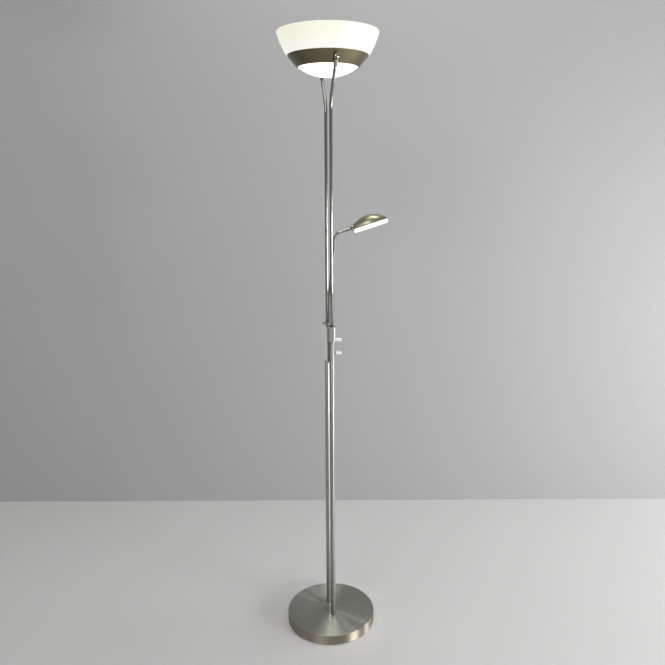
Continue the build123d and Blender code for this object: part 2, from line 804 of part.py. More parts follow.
bar_top = tilt_axis_height + bar_thick / 2
bar_bottom = bar_top - bar_thick
with BuildPart() as cross_bar:
    with BuildSketch(Plane.XY.offset(bar_bottom)):
        Rectangle(2 * bar_half_width, 2 * (bar_boss_face - bar_boss_length / 2))
        with GridLocations(0, carrier_screw_spacing, 1, 2):
            Circle(carrier_screw_radius + fit_gap, mode=Mode.SUBTRACT)
    extrude(amount=bar_thick)
    chamfer(cross_bar.edges().filter_by(Axis.Z).sort_by_distance((0, 0, bar_top))[-4:], 4.0)
    for boss_side in (-1, 1):
        with BuildSketch(y_plane(boss_side * bar_boss_face, tilt_axis_height)):
            Circle(bar_boss_radius)
        extrude(amount=boss_side * bar_boss_length)
        with BuildSketch(y_plane(boss_side * bar_boss_face, tilt_axis_height)):
            Circle(pivot_screw_radius + fit_gap)
        extrude(amount=boss_side * (pivot_screw_thread + seat_gap), mode=Mode.SUBTRACT)
cross_bar.part.label = "cross_bar"
export_step(cross_bar.part, "parts/cross_bar.step")

with BuildPart() as led_carrier:
    with BuildSketch(Plane.XY.offset(bar_top)):
        Circle(carrier_radius)
        with GridLocations(0, carrier_screw_spacing, 1, 2):
            Circle(carrier_screw_radius + seat_gap, mode=Mode.SUBTRACT)
    extrude(amount=carrier_thick)
    with BuildSketch(Plane.XY.offset(bar_top + carrier_thick)):
        Circle(carrier_radius)
        Circle(carrier_radius - carrier_rim, mode=Mode.SUBTRACT)
    extrude(amount=carrier_rim)
    chamfer(led_carrier.faces().sort_by(Axis.Z)[-1].edges(), 0.5)
led_carrier.part.label = "led_carrier"
export_step(led_carrier.part, "parts/led_carrier.step")

carrier_top = bar_top + carrier_thick
with BuildPart() as carrier_screws:
    with BuildSketch(Plane.XY.offset(carrier_top + led_board_thick)):
        with GridLocations(0, carrier_screw_spacing, 1, 2):
            Circle(carrier_screw_head)
    extrude(amount=carrier_screw_radius)
    with BuildSketch(Plane.XY.offset(carrier_top + led_board_thick)):
        with GridLocations(0, carrier_screw_spacing, 1, 2):
            Circle(carrier_screw_radius)
    extrude(amount=-carrier_screw_length)
carrier_screws.part.label = "carrier_screws"
export_step(carrier_screws.part, "parts/carrier_screws.step")

with BuildPart() as led_board_up:
    with BuildSketch(Plane.XY.offset(carrier_top)):
        Circle(led_board_radius)
        with GridLocations(0, carrier_screw_spacing, 1, 2):
            Circle(carrier_screw_radius + seat_gap, mode=Mode.SUBTRACT)
    extrude(amount=led_board_thick)
led_board_up.part.label = "led_board_up"
export_step(led_board_up.part, "parts/led_board_up.step")

with BuildPart() as leds_up:
    with BuildSketch(Plane.XY.offset(carrier_top + led_board_thick)):
        with PolarLocations(led_ring_radius, led_count, start_angle=180 / led_count):
            Rectangle(led_size, led_size)
        with PolarLocations(led_ring_radius / 2, led_count // 2):
            Rectangle(led_size, led_size)
    extrude(amount=led_height)
leds_up.part.label = "leds_up"
export_step(leds_up.part, "parts/leds_up.step")

with BuildPart() as led_board_down:
    with BuildSketch(Plane.XY.offset(bar_bottom)):
        Circle(down_board_radius)
        Circle(down_board_bore, mode=Mode.SUBTRACT)
    extrude(amount=-led_board_thick)
led_board_down.part.label = "led_board_down"
export_step(led_board_down.part, "parts/led_board_down.step")

with BuildPart() as leds_down:
    with BuildSketch(Plane.XY.offset(bar_bottom - led_board_thick)):
        with PolarLocations(down_led_ring, down_led_count):
            Rectangle(led_size, led_size)
    extrude(amount=-led_height)
leds_down.part.label = "leds_down"
export_step(leds_down.part, "parts/leds_down.step")

with BuildPart() as upper_diffuser:
    with BuildSketch(Plane.XY.offset(ledge_top)):
        Circle(diffuser_radius)
    extrude(amount=diffuser_thick)
    fillet(upper_diffuser.faces().sort_by(Axis.Z)[-1].edges(), diffuser_thick / 3)
upper_diffuser.part.label = "upper_diffuser"
export_step(upper_diffuser.part, "parts/upper_diffuser.step")

# ---------------------------------------------------------------- flexible arm
with BuildPart() as arm_socket:
    with BuildSketch(Plane.XY.offset(block_top)):
        Circle(arm_socket_radius)
    extrude(amount=arm_socket_height, taper=6)
    with BuildSketch(Plane.XY.offset(block_top)):
        Circle(arm_socket_spigot)
    extrude(amount=-(block_top - cavity_top))
    with BuildSketch(Plane.XY.offset(cavity_top)):
        Circle(arm_spigot_radius + fit_gap)
    extrude(amount=block_top - cavity_top + arm_socket_height, mode=Mode.SUBTRACT)
arm_socket.part.label = "arm_socket"
export_step(arm_socket.part, "parts/arm_socket.step")


def along(point, angle, distance):
    """A point in the X-Z plane, a distance on from another; the angle is from upright towards +X."""
    return (
        point[0] + distance * sin(radians(angle)),
        point[1] + distance * cos(radians(angle)),
    )


def arm_plane(point, angle):
    """The plane across the arm at a point of its centre line."""
    return Plane(
        origin=(point[0], 0, point[1]),
        x_dir=(0, 1, 0),
        z_dir=(sin(radians(angle)), 0, cos(radians(angle))),
    )


def bend_centre(point, angle):
    """The centre of the arm's curl, seen from a point of it and the direction there."""
    return along(point, angle + 90, arm_curl_radius)


def bend_point(point, angle, bend):
    """The point of the curl that lies an angle further on."""
    return along(bend_centre(point, angle), angle + bend - 90, arm_curl_radius)


# The links, each with its direction at its start and either the angle that it curls
# through or its straight length.
arm_links = (
    (arm_lean_angle, 0.0, arm_lean_height / cos(radians(arm_lean_angle))),
    (0.0, 0.0, arm_upright_height),
    (0.0, arm_curl_angle, 0.0),
    (arm_curl_angle, 0.0, arm_tip_length),
)


def ball_end(point, angle):
    """The ball that the next link turns on, with the neck that carries it along the angle."""
    with BuildPart() as ball:
        neck_length = link_end_gap + moving_gap
        with BuildSketch(arm_plane(along(point, angle, -neck_length), angle)):
            Circle(ball_radius * 0.75)
        extrude(amount=neck_length)
        with Locations((point[0], 0, point[1])):
            Sphere(ball_radius)
    return ball.part


stem_bottom = block_top + arm_socket_height + moving_gap
with BuildPart() as arm_stem:
    with BuildSketch(Plane.XY.offset(stem_bottom)):
        Circle(arm_radius)
    extrude(amount=arm_lean_start - link_end_gap - stem_bottom)
    with BuildSketch(Plane.XY.offset(stem_bottom)):
        Circle(arm_spigot_radius)
    extrude(amount=-(stem_bottom - cavity_top + moving_gap))
    with BuildSketch(Plane.XY.offset(cavity_top - moving_gap)):
        Circle(arm_retainer_radius)
    extrude(amount=-arm_spigot_radius / 2)
    add(ball_end((0, arm_lean_start), 0))
arm_stem.part.label = "arm_stem"
export_step(arm_stem.part, "parts/arm_stem.step")

arm_points = [(0, arm_lean_start)]
for link_index, (start_angle, bend, run) in enumerate(arm_links):
    link_start = arm_points[-1]
    end_angle = start_angle + bend
    link_end = along(bend_point(link_start, start_angle, bend), end_angle, run)
    with BuildPart() as arm_link:
        if bend:
            first_angle = degrees(link_start_gap / arm_curl_radius)
            last_angle = bend - degrees(link_end_gap / arm_curl_radius)
            first_point = bend_point(link_start, start_angle, first_angle)
            centre = bend_centre(link_start, start_angle)
            with BuildSketch(arm_plane(first_point, start_angle + first_angle)):
                Circle(arm_radius)
            revolve(
                axis=Axis((centre[0], 0, centre[1]), (0, 1, 0)),
                revolution_arc=last_angle - first_angle,
            )
        if run:
            with BuildSketch(arm_plane(along(link_start, end_angle, link_start_gap), end_angle)):
                Circle(arm_radius)
            extrude(amount=run - link_start_gap - link_end_gap)
        with Locations((link_start[0], 0, link_start[1])):
            Sphere(ball_radius + ball_gap, mode=Mode.SUBTRACT)
        add(ball_end(link_end, end_angle))
    arm_link.part.label = f"arm_link_{link_index + 1}"
    export_step(arm_link.part, f"parts/arm_link_{link_index + 1}.step")
    arm_points.append(link_end)

# ---------------------------------------------------------------- reading head
# Local axes of the head: x from neck to tip, z up through the dome, origin in the rim's plane.
head_x = Vector(cos(radians(head_tilt)), 0, sin(radians(head_tilt)))
head_up = Vector(-sin(radians(head_tilt)), 0, cos(radians(head_tilt))).rotate(
    Axis((0, 0, 0), head_x), -head_roll
)
tip_point = arm_points[-1]
collar_centre = Vector(tip_point[0], 0, tip_point[1])
head_neck_offset = ball_radius + ball_gap + head_neck_wall
head_origin = collar_centre + head_x * head_neck_offset - head_up * head_collar_drop
head_plane = Plane(origin=head_origin, x_dir=head_x, z_dir=head_up)


def head_section(x):
    """The plane across the head at a distance from its neck: local x is the width, local y is up."""
    return Plane(
        origin=head_plane.from_local_coords((x, 0, 0)),
        x_dir=head_plane.y_dir,
        z_dir=head_plane.x_dir,
    )


def head_width_at(x):
    """Half the head's width at a distance from its neck."""
    if x < head_widest:
        share = sin(pi / 2 * x / head_widest)
        return head_neck_width + (head_half_width - head_neck_width) * share
    return head_half_width * sqrt(1 - ((x - head_widest) / (head_length - head_widest)) ** 2)


def head_height_at(x):
    """The dome's height at a distance from its neck."""
    if x < head_highest:
        share = sin(pi / 2 * x / head_highest)
        return head_neck_height + (head_height - head_neck_height) * share
    return head_height * (1 - ((x - head_highest) / (head_length - head_highest)) ** 2) ** 0.7



def dome(inset, start, stop):
    """The dome's solid: half ellipses from neck to tip, all inset by a wall thickness."""
    with BuildPart() as solid:
        for section in range(dome_sections + 1):
            share = dome_end_share * sin(pi / 2 * section / dome_sections)
            x = start + (stop - start) * share
            half_width = head_width_at(x) - inset
            height = head_height_at(x) - inset
            with BuildSketch(head_section(x)):
                with BuildLine():
                    arch = EllipticalCenterArc((0, 0), half_width, height, arc_size=180)
                    Line(arch @ 1, arch @ 0)
                make_face()
        loft()
    return solid.part


dome_outer = dome(0.0, 0.0, head_length)
dome_inner = dome(head_wall, head_wall, head_length - 2 * head_wall)

with BuildPart() as head_shell:
    add(dome_outer)
    add(dome_inner, mode=Mode.SUBTRACT)
head_shell.part.label = "head_shell"
export_step(head_shell.part, "parts/head_shell.step")


def head_outline(inset):
    """The head's outline seen from below, inset all round, on the X-Y plane."""
    neck = head_neck_width - inset
    wide = head_half_width - inset
    flank = head_widest * 0.45
    with BuildSketch(Plane.XY) as outline:
        with BuildLine():
            Spline(
                (inset, neck),
                (flank, head_width_at(flank) - inset),
                (head_widest, wide),
                tangents=((0.6, 0.8), (1, 0)),
            )
            EllipticalCenterArc((head_widest, 0), head_length - head_widest - inset, wide)
            Line((inset, neck), (inset, 0))
            Line((inset, 0), (head_length - inset, 0))
        make_face()
        mirror(about=Plane.XZ)
        fillet(outline.vertices().sort_by(Axis.X)[:2], lens_corner - inset)
    return outline.sketch


with BuildPart() as head_lens:
    with BuildSketch(head_plane.offset(-seat_gap)):
        add(head_outline(lens_inset))
    extrude(amount=-lens_depth)
    lens_bottom = head_lens.faces().sort_by(Axis(head_origin, head_up))[0]
    fillet(lens_bottom.edges(), lens_edge)
    with BuildSketch(head_plane.offset(-seat_gap)):
        add(head_outline(lens_inset + lens_wall))
    extrude(amount=-(lens_depth - lens_wall), mode=Mode.SUBTRACT)
head_lens.part.label = "head_lens"
export_step(head_lens.part, "parts/head_lens.step")

with BuildPart() as head_tray:
    with BuildSketch(head_plane.offset(seat_gap)):
        add(head_outline(2 * head_wall + 1.0))
    extrude(amount=head_tray_depth)
head_tray.part.label = "head_tray"
export_step(head_tray.part, "parts/head_tray.step")

with BuildPart() as head_led_board:
    with BuildSketch(head_plane.offset(seat_gap)):
        with Locations((head_widest, 0)):
            RectangleRounded(head_led_spacing * 4, head_led_spacing * 3, 3)
    extrude(amount=-head_board_thick)
head_led_board.part.label = "head_led_board"
export_step(head_led_board.part, "parts/head_led_board.step")

with BuildPart() as head_leds:
    with BuildSketch(head_plane.offset(seat_gap - head_board_thick)):
        with Locations((head_widest, 0)):
            with GridLocations(head_led_spacing, head_led_spacing, 3, 2):
                Rectangle(head_led_size, head_led_size)
    extrude(amount=-led_height)
head_leds.part.label = "head_leds"
export_step(head_leds.part, "parts/head_leds.step")

with BuildPart() as head_collar:
    collar_plane = head_section(0)
    with BuildSketch(collar_plane):
        with Locations((0, head_collar_drop)):
            Circle(head_collar_radius)
    extrude(amount=-head_collar_length)
    fillet(head_collar.faces().sort_by(Axis.X)[0].edges(), 1.2)
    with Locations(collar_centre):
        Sphere(ball_radius + ball_gap, mode=Mode.SUBTRACT)
    with BuildSketch(arm_plane(along(tip_point, arm_curl_angle, moving_gap), arm_curl_angle)):
        Circle(arm_radius + head_neck_wall)
    extrude(amount=-head_collar_length, taper=-20, mode=Mode.SUBTRACT)
head_collar.part.label = "head_collar"
export_step(head_collar.part, "parts/head_collar.step")

print("arm hinge points (x, z):", [(round(p[0], 3), round(p[1], 3)) for p in arm_points])
print("tilt axis height:", tilt_axis_height)
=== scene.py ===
import bpy
import bmesh
import math
from mathutils import Matrix, Vector


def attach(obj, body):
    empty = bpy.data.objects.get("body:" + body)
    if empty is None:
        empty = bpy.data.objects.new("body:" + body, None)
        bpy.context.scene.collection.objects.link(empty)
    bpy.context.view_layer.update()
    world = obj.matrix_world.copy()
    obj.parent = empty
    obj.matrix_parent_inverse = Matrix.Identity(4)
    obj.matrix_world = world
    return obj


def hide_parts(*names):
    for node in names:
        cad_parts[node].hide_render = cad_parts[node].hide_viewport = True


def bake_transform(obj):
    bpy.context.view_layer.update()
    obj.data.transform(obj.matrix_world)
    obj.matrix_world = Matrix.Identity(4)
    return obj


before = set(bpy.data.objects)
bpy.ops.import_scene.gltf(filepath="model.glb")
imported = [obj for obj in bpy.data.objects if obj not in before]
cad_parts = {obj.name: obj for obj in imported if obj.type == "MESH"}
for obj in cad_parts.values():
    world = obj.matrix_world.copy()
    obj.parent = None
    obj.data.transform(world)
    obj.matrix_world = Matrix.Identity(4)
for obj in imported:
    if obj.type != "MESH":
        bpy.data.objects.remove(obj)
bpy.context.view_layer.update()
mm = 0.001
print("frame loaded")


# shader helpers: every node is made by kind, its constants set on its own sockets
def newMaterial(name):
    material = bpy.data.materials.new(name)
    material.use_nodes = True
    tree = material.node_tree
    tree.nodes.clear()
    output = tree.nodes.new("ShaderNodeOutputMaterial")
    shader = tree.nodes.new("ShaderNodeBsdfPrincipled")
    tree.links.new(shader.outputs[0], output.inputs[0])
    return material, tree, shader


def node(tree, kind, settings=None, values=None):
    made = tree.nodes.new(kind)
    for key, value in (settings or {}).items():
        setattr(made, key, value)
    for key, value in (values or {}).items():
        made.inputs[key].default_value = value
    return made


def mathNode(tree, operation, first, second=None, third=None):
    made = node(tree, "ShaderNodeMath", {"operation": operation})
    for index, item in enumerate((first, second, third)):
        if isinstance(item, (int, float)):
            made.inputs[index].default_value = item
        elif item is not None:
            tree.links.new(item, made.inputs[index])
    return made.outputs[0]


def mixColour(tree, factor, first, second):
    made = node(tree, "ShaderNodeMix", {"data_type": "RGBA"})
    for index, item in ((0, factor), (6, first), (7, second)):
        if hasattr(item, "is_output"):
            tree.links.new(item, made.inputs[index])
        else:
            made.inputs[index].default_value = item
    return made.outputs[2]


def mapRange(tree, value, low, high, toLow, toHigh):
    made = node(tree, "ShaderNodeMapRange", values={1: low, 2: high, 3: toLow, 4: toHigh})
    tree.links.new(value, made.inputs[0])
    return made.outputs[0]


def groupTree(name, ins, outs):
    tree = bpy.data.node_groups.new(name, "ShaderNodeTree")
    for label, kind, value in ins:
        socket = tree.interface.new_socket(label, in_out="INPUT", socket_type=kind)
        if value is not None:
            socket.default_value = value
    for label, kind in outs:
        tree.interface.new_socket(label, in_out="OUTPUT", socket_type=kind)
    return tree, tree.nodes.new("NodeGroupInput"), tree.nodes.new("NodeGroupOutput")


def useGroup(tree, group, values=None, links=None):
    made = tree.nodes.new("ShaderNodeGroup")
    made.node_tree = group
    for key, value in (values or {}).items():
        made.inputs[key].default_value = value
    for key, socket in (links or {}).items():
        tree.links.new(socket, made.inputs[key])
    return made


# brushing: fine noise, drawn into lines by a stretched vector, plus slow uneven patches
def makeBrushGroup():
    tree, into, out = groupTree(
        "brushLines",
        [("Vector", "NodeSocketVector", None), ("Fine", "NodeSocketFloat", 900.0),
         ("Patch", "NodeSocketFloat", 14.0)],
        [("Lines", "NodeSocketFloat"), ("Patches", "NodeSocketFloat")])
    lines = node(tree, "ShaderNodeTexNoise", {"noise_dimensions": "3D"}, {"Detail": 4.0, "Roughness": 0.7})
    patches = node(tree, "ShaderNodeTexNoise", {"noise_dimensions": "3D"}, {"Detail": 3.0, "Roughness": 0.55})
    tree.links.new(into.outputs["Vector"], lines.inputs["Vector"])
    tree.links.new(into.outputs["Vector"], patches.inputs["Vector"])
    tree.links.new(into.outputs["Fine"], lines.inputs["Scale"])
    tree.links.new(into.outputs["Patch"], patches.inputs["Scale"])
    tree.links.new(lines.outputs[0], out.inputs["Lines"])
    tree.links.new(patches.outputs[0], out.inputs["Patches"])
    return tree


# handling marks: faint smudges and a few specks of dust, each 0 to 1
def makeHandledGroup():
    tree, into, out = groupTree(
        "handledSurface",
        [("Vector", "NodeSocketVector", None), ("Size", "NodeSocketFloat", 9.0),
         ("Dust", "NodeSocketFloat", 420.0)],
        [("Smudge", "NodeSocketFloat"), ("Specks", "NodeSocketFloat")])
    smudge = node(tree, "ShaderNodeTexNoise", values={"Detail": 5.0, "Roughness": 0.62, "Distortion": 0.6})
    specks = node(tree, "ShaderNodeTexVoronoi", {"feature": "F1"}, {"Randomness": 1.0})
    tree.links.new(into.outputs["Vector"], smudge.inputs["Vector"])
    tree.links.new(into.outputs["Vector"], specks.inputs["Vector"])
    tree.links.new(into.outputs["Size"], smudge.inputs["Scale"])
    tree.links.new(into.outputs["Dust"], specks.inputs["Scale"])
    tree.links.new(mapRange(tree, smudge.outputs[0], 0.42, 0.72, 0.0, 1.0), out.inputs["Smudge"])
    tree.links.new(mapRange(tree, specks.outputs["Distance"], 0.10, 0.05, 0.0, 1.0), out.inputs["Specks"])
    return tree


brushGroup = makeBrushGroup()
handledGroup = makeHandledGroup()


def objectVector(tree, stretch=(1, 1, 1)):
    coordinates = tree.nodes.new("ShaderNodeTexCoord")
    mapping = node(tree, "ShaderNodeMapping", values={"Scale": stretch})
    tree.links.new(coordinates.outputs["Object"], mapping.inputs["Vector"])
    return mapping.outputs[0]


def turnedVector(tree, stretch):
    # radius, angle and height of a turned piece, so a pattern made from it runs round the axis
    coordinates = tree.nodes.new("ShaderNodeTexCoord")
    parts = tree.nodes.new("ShaderNodeSeparateXYZ")
    tree.links.new(coordinates.outputs["Object"], parts.inputs[0])
    squares = mathNode(tree, "ADD", mathNode(tree, "POWER", parts.outputs[0], 2.0),
                       mathNode(tree, "POWER", parts.outputs[1], 2.0))
    radius = mathNode(tree, "SQRT", squares)
    angle = mathNode(tree, "ARCTAN2", parts.outputs[1], parts.outputs[0])
    joined = tree.nodes.new("ShaderNodeCombineXYZ")
    tree.links.new(mathNode(tree, "MULTIPLY", radius, stretch[0]), joined.inputs[0])
    tree.links.new(mathNode(tree, "MULTIPLY", angle, stretch[1]), joined.inputs[1])
    tree.links.new(mathNode(tree, "MULTIPLY", parts.outputs[2], stretch[2]), joined.inputs[2])
    return joined.outputs[0]


nickelLook = {"deep": 0.72, "dust": (0.46, 0.45, 0.42, 1), "dustShare": 0.25, "smudges": 7.0, "specks": 520.0,
              "lineRoughness": 0.10, "smudgeRoughness": 0.05, "grooveDepth": 0.0002}


def makeNickel(name, brushing, roughness, contrast, bump, fine, patch, tint, anisotropy=0.0):
    material, tree, shader = newMaterial(name)
    deep = tuple(c * nickelLook["deep"] for c in tint[:3]) + (1,)
    vector = brushing(tree)
    brush = useGroup(tree, brushGroup, {"Fine": fine, "Patch": patch}, {"Vector": vector})
    handled = useGroup(tree, handledGroup, {"Size": nickelLook["smudges"], "Dust": nickelLook["specks"]},
                       {"Vector": objectVector(tree)})
    lines, patches = brush.outputs["Lines"], brush.outputs["Patches"]
    share = mathNode(tree, "MULTIPLY_ADD", lines, contrast, mathNode(tree, "MULTIPLY", patches, 1 - contrast))
    toned = mixColour(tree, mapRange(tree, share, 0.32, 0.66, 0.0, 1.0), deep, tint)
    specks = mathNode(tree, "MULTIPLY", handled.outputs["Specks"], nickelLook["dustShare"])
    marked = mixColour(tree, specks, toned, nickelLook["dust"])
    tree.links.new(marked, shader.inputs["Base Color"])
    spread = nickelLook["lineRoughness"]
    rough = mathNode(tree, "MULTIPLY_ADD", lines, spread, roughness - spread / 2)
    rough = mathNode(tree, "MULTIPLY_ADD", handled.outputs["Smudge"], nickelLook["smudgeRoughness"], rough)
    tree.links.new(rough, shader.inputs["Roughness"])
    shader.inputs["Metallic"].default_value = 1.0
    if bump:
        depth = nickelLook["grooveDepth"]
        relief = node(tree, "ShaderNodeBump", values={"Strength": bump, "Distance": depth})
        tree.links.new(lines, relief.inputs["Height"])
        tree.links.new(relief.outputs[0], shader.inputs["Normal"])
    if anisotropy:
        shader.inputs["Anisotropic"].default_value = anisotropy
        shader.inputs["Anisotropic Rotation"].default_value = 0.25
        direction = node(tree, "ShaderNodeTangent", {"direction_type": "RADIAL", "axis": "Z"})
        tree.links.new(direction.outputs[0], shader.inputs["Tangent"])
    return material


# turned pieces are brushed round their axis, which draws each reflection out across the lines
spunNickel = makeNickel("spunNickel", lambda t: turnedVector(t, (1.0, 0.004, 1.0)), 0.34, contrast=0.6,
                        bump=0.02, anisotropy=0.95, fine=1500.0, patch=60.0, tint=(0.44, 0.45, 0.40, 1))
# painted reflection: the rim's browner tint stands in for the floor it reflects; its rougher, drawn-out
# brushing is its own finish
rimNickelPaintedReflection = makeNickel("rimNickelPaintedReflection", lambda t: turnedVector(t, (0.3, 0.004, 1.0)), 0.44, contrast=0.4,
                       bump=0.02, anisotropy=0.98, fine=1400.0, patch=40.0, tint=(0.43, 0.385, 0.315, 1))
ringNickel = makeNickel("ringNickel", lambda t: turnedVector(t, (0.5, 0.012, 1.0)), 0.30, contrast=0.6,
                        bump=0.04, anisotropy=0.5, fine=1100.0, patch=30.0, tint=(0.235, 0.205, 0.125, 1))
tubeNickel = makeNickel("tubeNickel", lambda t: objectVector(t, (1, 1, 0.02)), 0.33, contrast=0.5,
                        bump=0.03, anisotropy=0.95, fine=1300.0, patch=60.0, tint=(0.40, 0.405, 0.38, 1))
# painted reflection: the rods take a darker copy of the tube nickel, standing in for the dark room they
# reflect
rodNickelPaintedDark = makeNickel("rodNickelPaintedDark", lambda t: objectVector(t, (1, 1, 0.02)), 0.15, contrast=0.5,
                       bump=0.03, fine=1300.0, patch=60.0, tint=(0.26, 0.262, 0.245, 1))
castNickel = makeNickel("castNickel", lambda t: objectVector(t, (1, 1, 0.05)), 0.34, contrast=0.6,
                        bump=0.05, fine=1000.0, patch=25.0, tint=(0.40, 0.40, 0.37, 1))
domeNickel = makeNickel("domeNickel", lambda t: objectVector(t), 0.12, contrast=0.5,
                        bump=0.02, fine=1000.0, patch=25.0, tint=(0.42, 0.41, 0.37, 1))
headNickel = makeNickel("headNickel", lambda t: objectVector(t, (0.06, 1, 1)), 0.32, contrast=0.6,
                        bump=0.04, fine=1000.0, patch=25.0, tint=(0.40, 0.385, 0.25, 1))
# painted shade: the arm's sleeves take a dark copy of the nickel, so they read dark all over
sleeveNickelPaintedDark = makeNickel("sleeveNickelPaintedDark", lambda t: objectVector(t), 0.28, contrast=0.4,
                          bump=0.0, fine=700.0, patch=30.0, tint=(0.24, 0.24, 0.225, 1))
print("nickel finishes made")


def makeCoated(name, colour, deep, roughness, metallic, scale, bump, coat=0.0, distance=0.0002):
    material, tree, shader = newMaterial(name)
    vector = objectVector(tree)
    grain = node(tree, "ShaderNodeTexNoise", values={"Scale": scale, "Detail": 4.0, "Roughness": 0.6})
    tree.links.new(vector, grain.inputs["Vector"])
    handled = useGroup(tree, handledGroup, {"Size": 12.0, "Dust": 480.0}, {"Vector": vector})
    toned = mixColour(tree, mapRange(tree, grain.outputs[0], 0.35, 0.68, 0.0, 1.0), deep, colour)
    tree.links.new(toned, shader.inputs["Base Color"])
    rough = mathNode(tree, "MULTIPLY_ADD", handled.outputs["Smudge"], 0.08, roughness)
    tree.links.new(rough, shader.inputs["Roughness"])
    shader.inputs["Metallic"].default_value = metallic
    shader.inputs["Coat Weight"].default_value = coat
    relief = node(tree, "ShaderNodeBump", values={"Strength": bump, "Distance": distance})
    tree.links.new(grain.outputs[0], relief.inputs["Height"])
    tree.links.new(relief.outputs[0], shader.inputs["Normal"])
    return material


knobChrome = makeCoated("knobChrome", (0.95, 0.95, 0.94, 1), (0.90, 0.90, 0.89, 1), 0.40,
                        metallic=1.0, scale=300.0, bump=0.01)
zincSteel = makeCoated("zincSteel", (0.60, 0.60, 0.57, 1), (0.46, 0.46, 0.45, 1), 0.32,
                       metallic=1.0, scale=220.0, bump=0.08)
rawAluminium = makeCoated("rawAluminium", (0.72, 0.72, 0.73, 1), (0.6, 0.6, 0.61, 1), 0.35,
                          metallic=1.0, scale=240.0, bump=0.06)
castIron = makeCoated("castIron", (0.13, 0.13, 0.135, 1), (0.07, 0.07, 0.075, 1), 0.7,
                      metallic=0.4, scale=160.0, bump=0.5, distance=0.0006)
blackPlastic = makeCoated("blackPlastic", (0.035, 0.035, 0.037, 1), (0.022, 0.022, 0.024, 1), 0.48,
                          metallic=0.0, scale=520.0, bump=0.2)
greenBoard = makeCoated("greenBoard", (0.03, 0.20, 0.09, 1), (0.02, 0.14, 0.06, 1), 0.3,
                        metallic=0.0, scale=90.0, bump=0.05, coat=0.5)
whiteBoard = makeCoated("whiteBoard", (0.85, 0.85, 0.83, 1), (0.78, 0.78, 0.76, 1), 0.35,
                        metallic=0.0, scale=120.0, bump=0.05, coat=0.4)
clearSilicone = makeCoated("clearSilicone", (0.72, 0.72, 0.70, 1), (0.62, 0.62, 0.60, 1), 0.45,
                           metallic=0.0, scale=300.0, bump=0.1)
whiteNylon = makeCoated("whiteNylon", (0.82, 0.82, 0.78, 1), (0.74, 0.74, 0.70, 1), 0.5,
                        metallic=0.0, scale=300.0, bump=0.1)


def makeFelt():
    material, tree, shader = newMaterial("baseFelt")
    vector = objectVector(tree)
    hairs = node(tree, "ShaderNodeTexNoise", values={"Scale": 900.0, "Detail": 6.0, "Roughness": 0.75})
    tufts = node(tree, "ShaderNodeTexNoise", values={"Scale": 45.0, "Detail": 3.0})
    tree.links.new(vector, hairs.inputs["Vector"])
    tree.links.new(vector, tufts.inputs["Vector"])
    tuftShare = mathNode(tree, "MULTIPLY", tufts.outputs[0], 0.3)
    share = mathNode(tree, "MULTIPLY_ADD", hairs.outputs[0], 0.7, tuftShare)
    deep, pale = (0.02, 0.02, 0.022, 1), (0.07, 0.07, 0.075, 1)
    toned = mixColour(tree, mapRange(tree, share, 0.35, 0.65, 0.0, 1.0), deep, pale)
    tree.links.new(toned, shader.inputs["Base Color"])
    shader.inputs["Roughness"].default_value = 0.95
    shader.inputs["Sheen Weight"].default_value = 0.4
    relief = node(tree, "ShaderNodeBump", values={"Strength": 0.8, "Distance": 0.0005})
    tree.links.new(hairs.outputs[0], relief.inputs["Height"])
    tree.links.new(relief.outputs[0], shader.inputs["Normal"])
    return material


baseFelt = makeFelt()

opalLook = {"deep": (0.23, 0.225, 0.205, 1), "pale": (0.27, 0.265, 0.24, 1), "coat": 0.12,
            "coatRoughness": 0.12, "grain": 1400.0, "grainDepth": 0.0002}
# where each lit piece stands, in m: its glow changes colour between the two heights
bowlSpan, dishSpan, lensSpan, diffuserSpan = (1.738, 1.800), (1.684, 1.716), (1.255, 1.300), (1.72, 1.76)
ledSpan = (1.2, 1.8)


def makeLitOpal(name, span, lowColour, highColour, strength, roughness, cloud=0.10):
    # opal glass with the lamp on: brightest near the lamps, creamier away from them
    material, tree, shader = newMaterial(name)
    vector = objectVector(tree)
    parts = tree.nodes.new("ShaderNodeSeparateXYZ")
    tree.links.new(vector, parts.inputs[0])
    milk = node(tree, "ShaderNodeTexNoise",
                values={"Scale": 16.0, "Detail": 4.0, "Roughness": 0.55, "Distortion": 0.5})
    stretched = objectVector(tree, (1, 1, 2.2))
    tree.links.new(stretched, milk.inputs["Vector"])
    rise = mapRange(tree, parts.outputs[2], span[0], span[1], 0.0, 1.0)
    drift = mathNode(tree, "MULTIPLY_ADD", mathNode(tree, "SUBTRACT", milk.outputs[0], 0.5), 4 * cloud, rise)
    glow = mixColour(tree, mapRange(tree, drift, 0.0, 1.0, 0.0, 1.0), lowColour, highColour)
    tree.links.new(glow, shader.inputs["Emission Color"])
    shader.inputs["Emission Strength"].default_value = strength
    frosted = node(tree, "ShaderNodeTexNoise", values={"Scale": opalLook["grain"], "Detail": 3.0})
    tree.links.new(vector, frosted.inputs["Vector"])
    tree.links.new(mathNode(tree, "MULTIPLY_ADD", frosted.outputs[0], 0.10, roughness - 0.05),
                   shader.inputs["Roughness"])
    base = mixColour(tree, frosted.outputs[0], opalLook["deep"], opalLook["pale"])
    tree.links.new(base, shader.inputs["Base Color"])
    shader.inputs["Coat Weight"].default_value = opalLook["coat"]
    shader.inputs["Coat Roughness"].default_value = opalLook["coatRoughness"]
    relief = node(tree, "ShaderNodeBump", values={"Strength": 0.04, "Distance": opalLook["grainDepth"]})
    tree.links.new(frosted.outputs[0], relief.inputs["Height"])
    tree.links.new(relief.outputs[0], shader.inputs["Normal"])
    return material


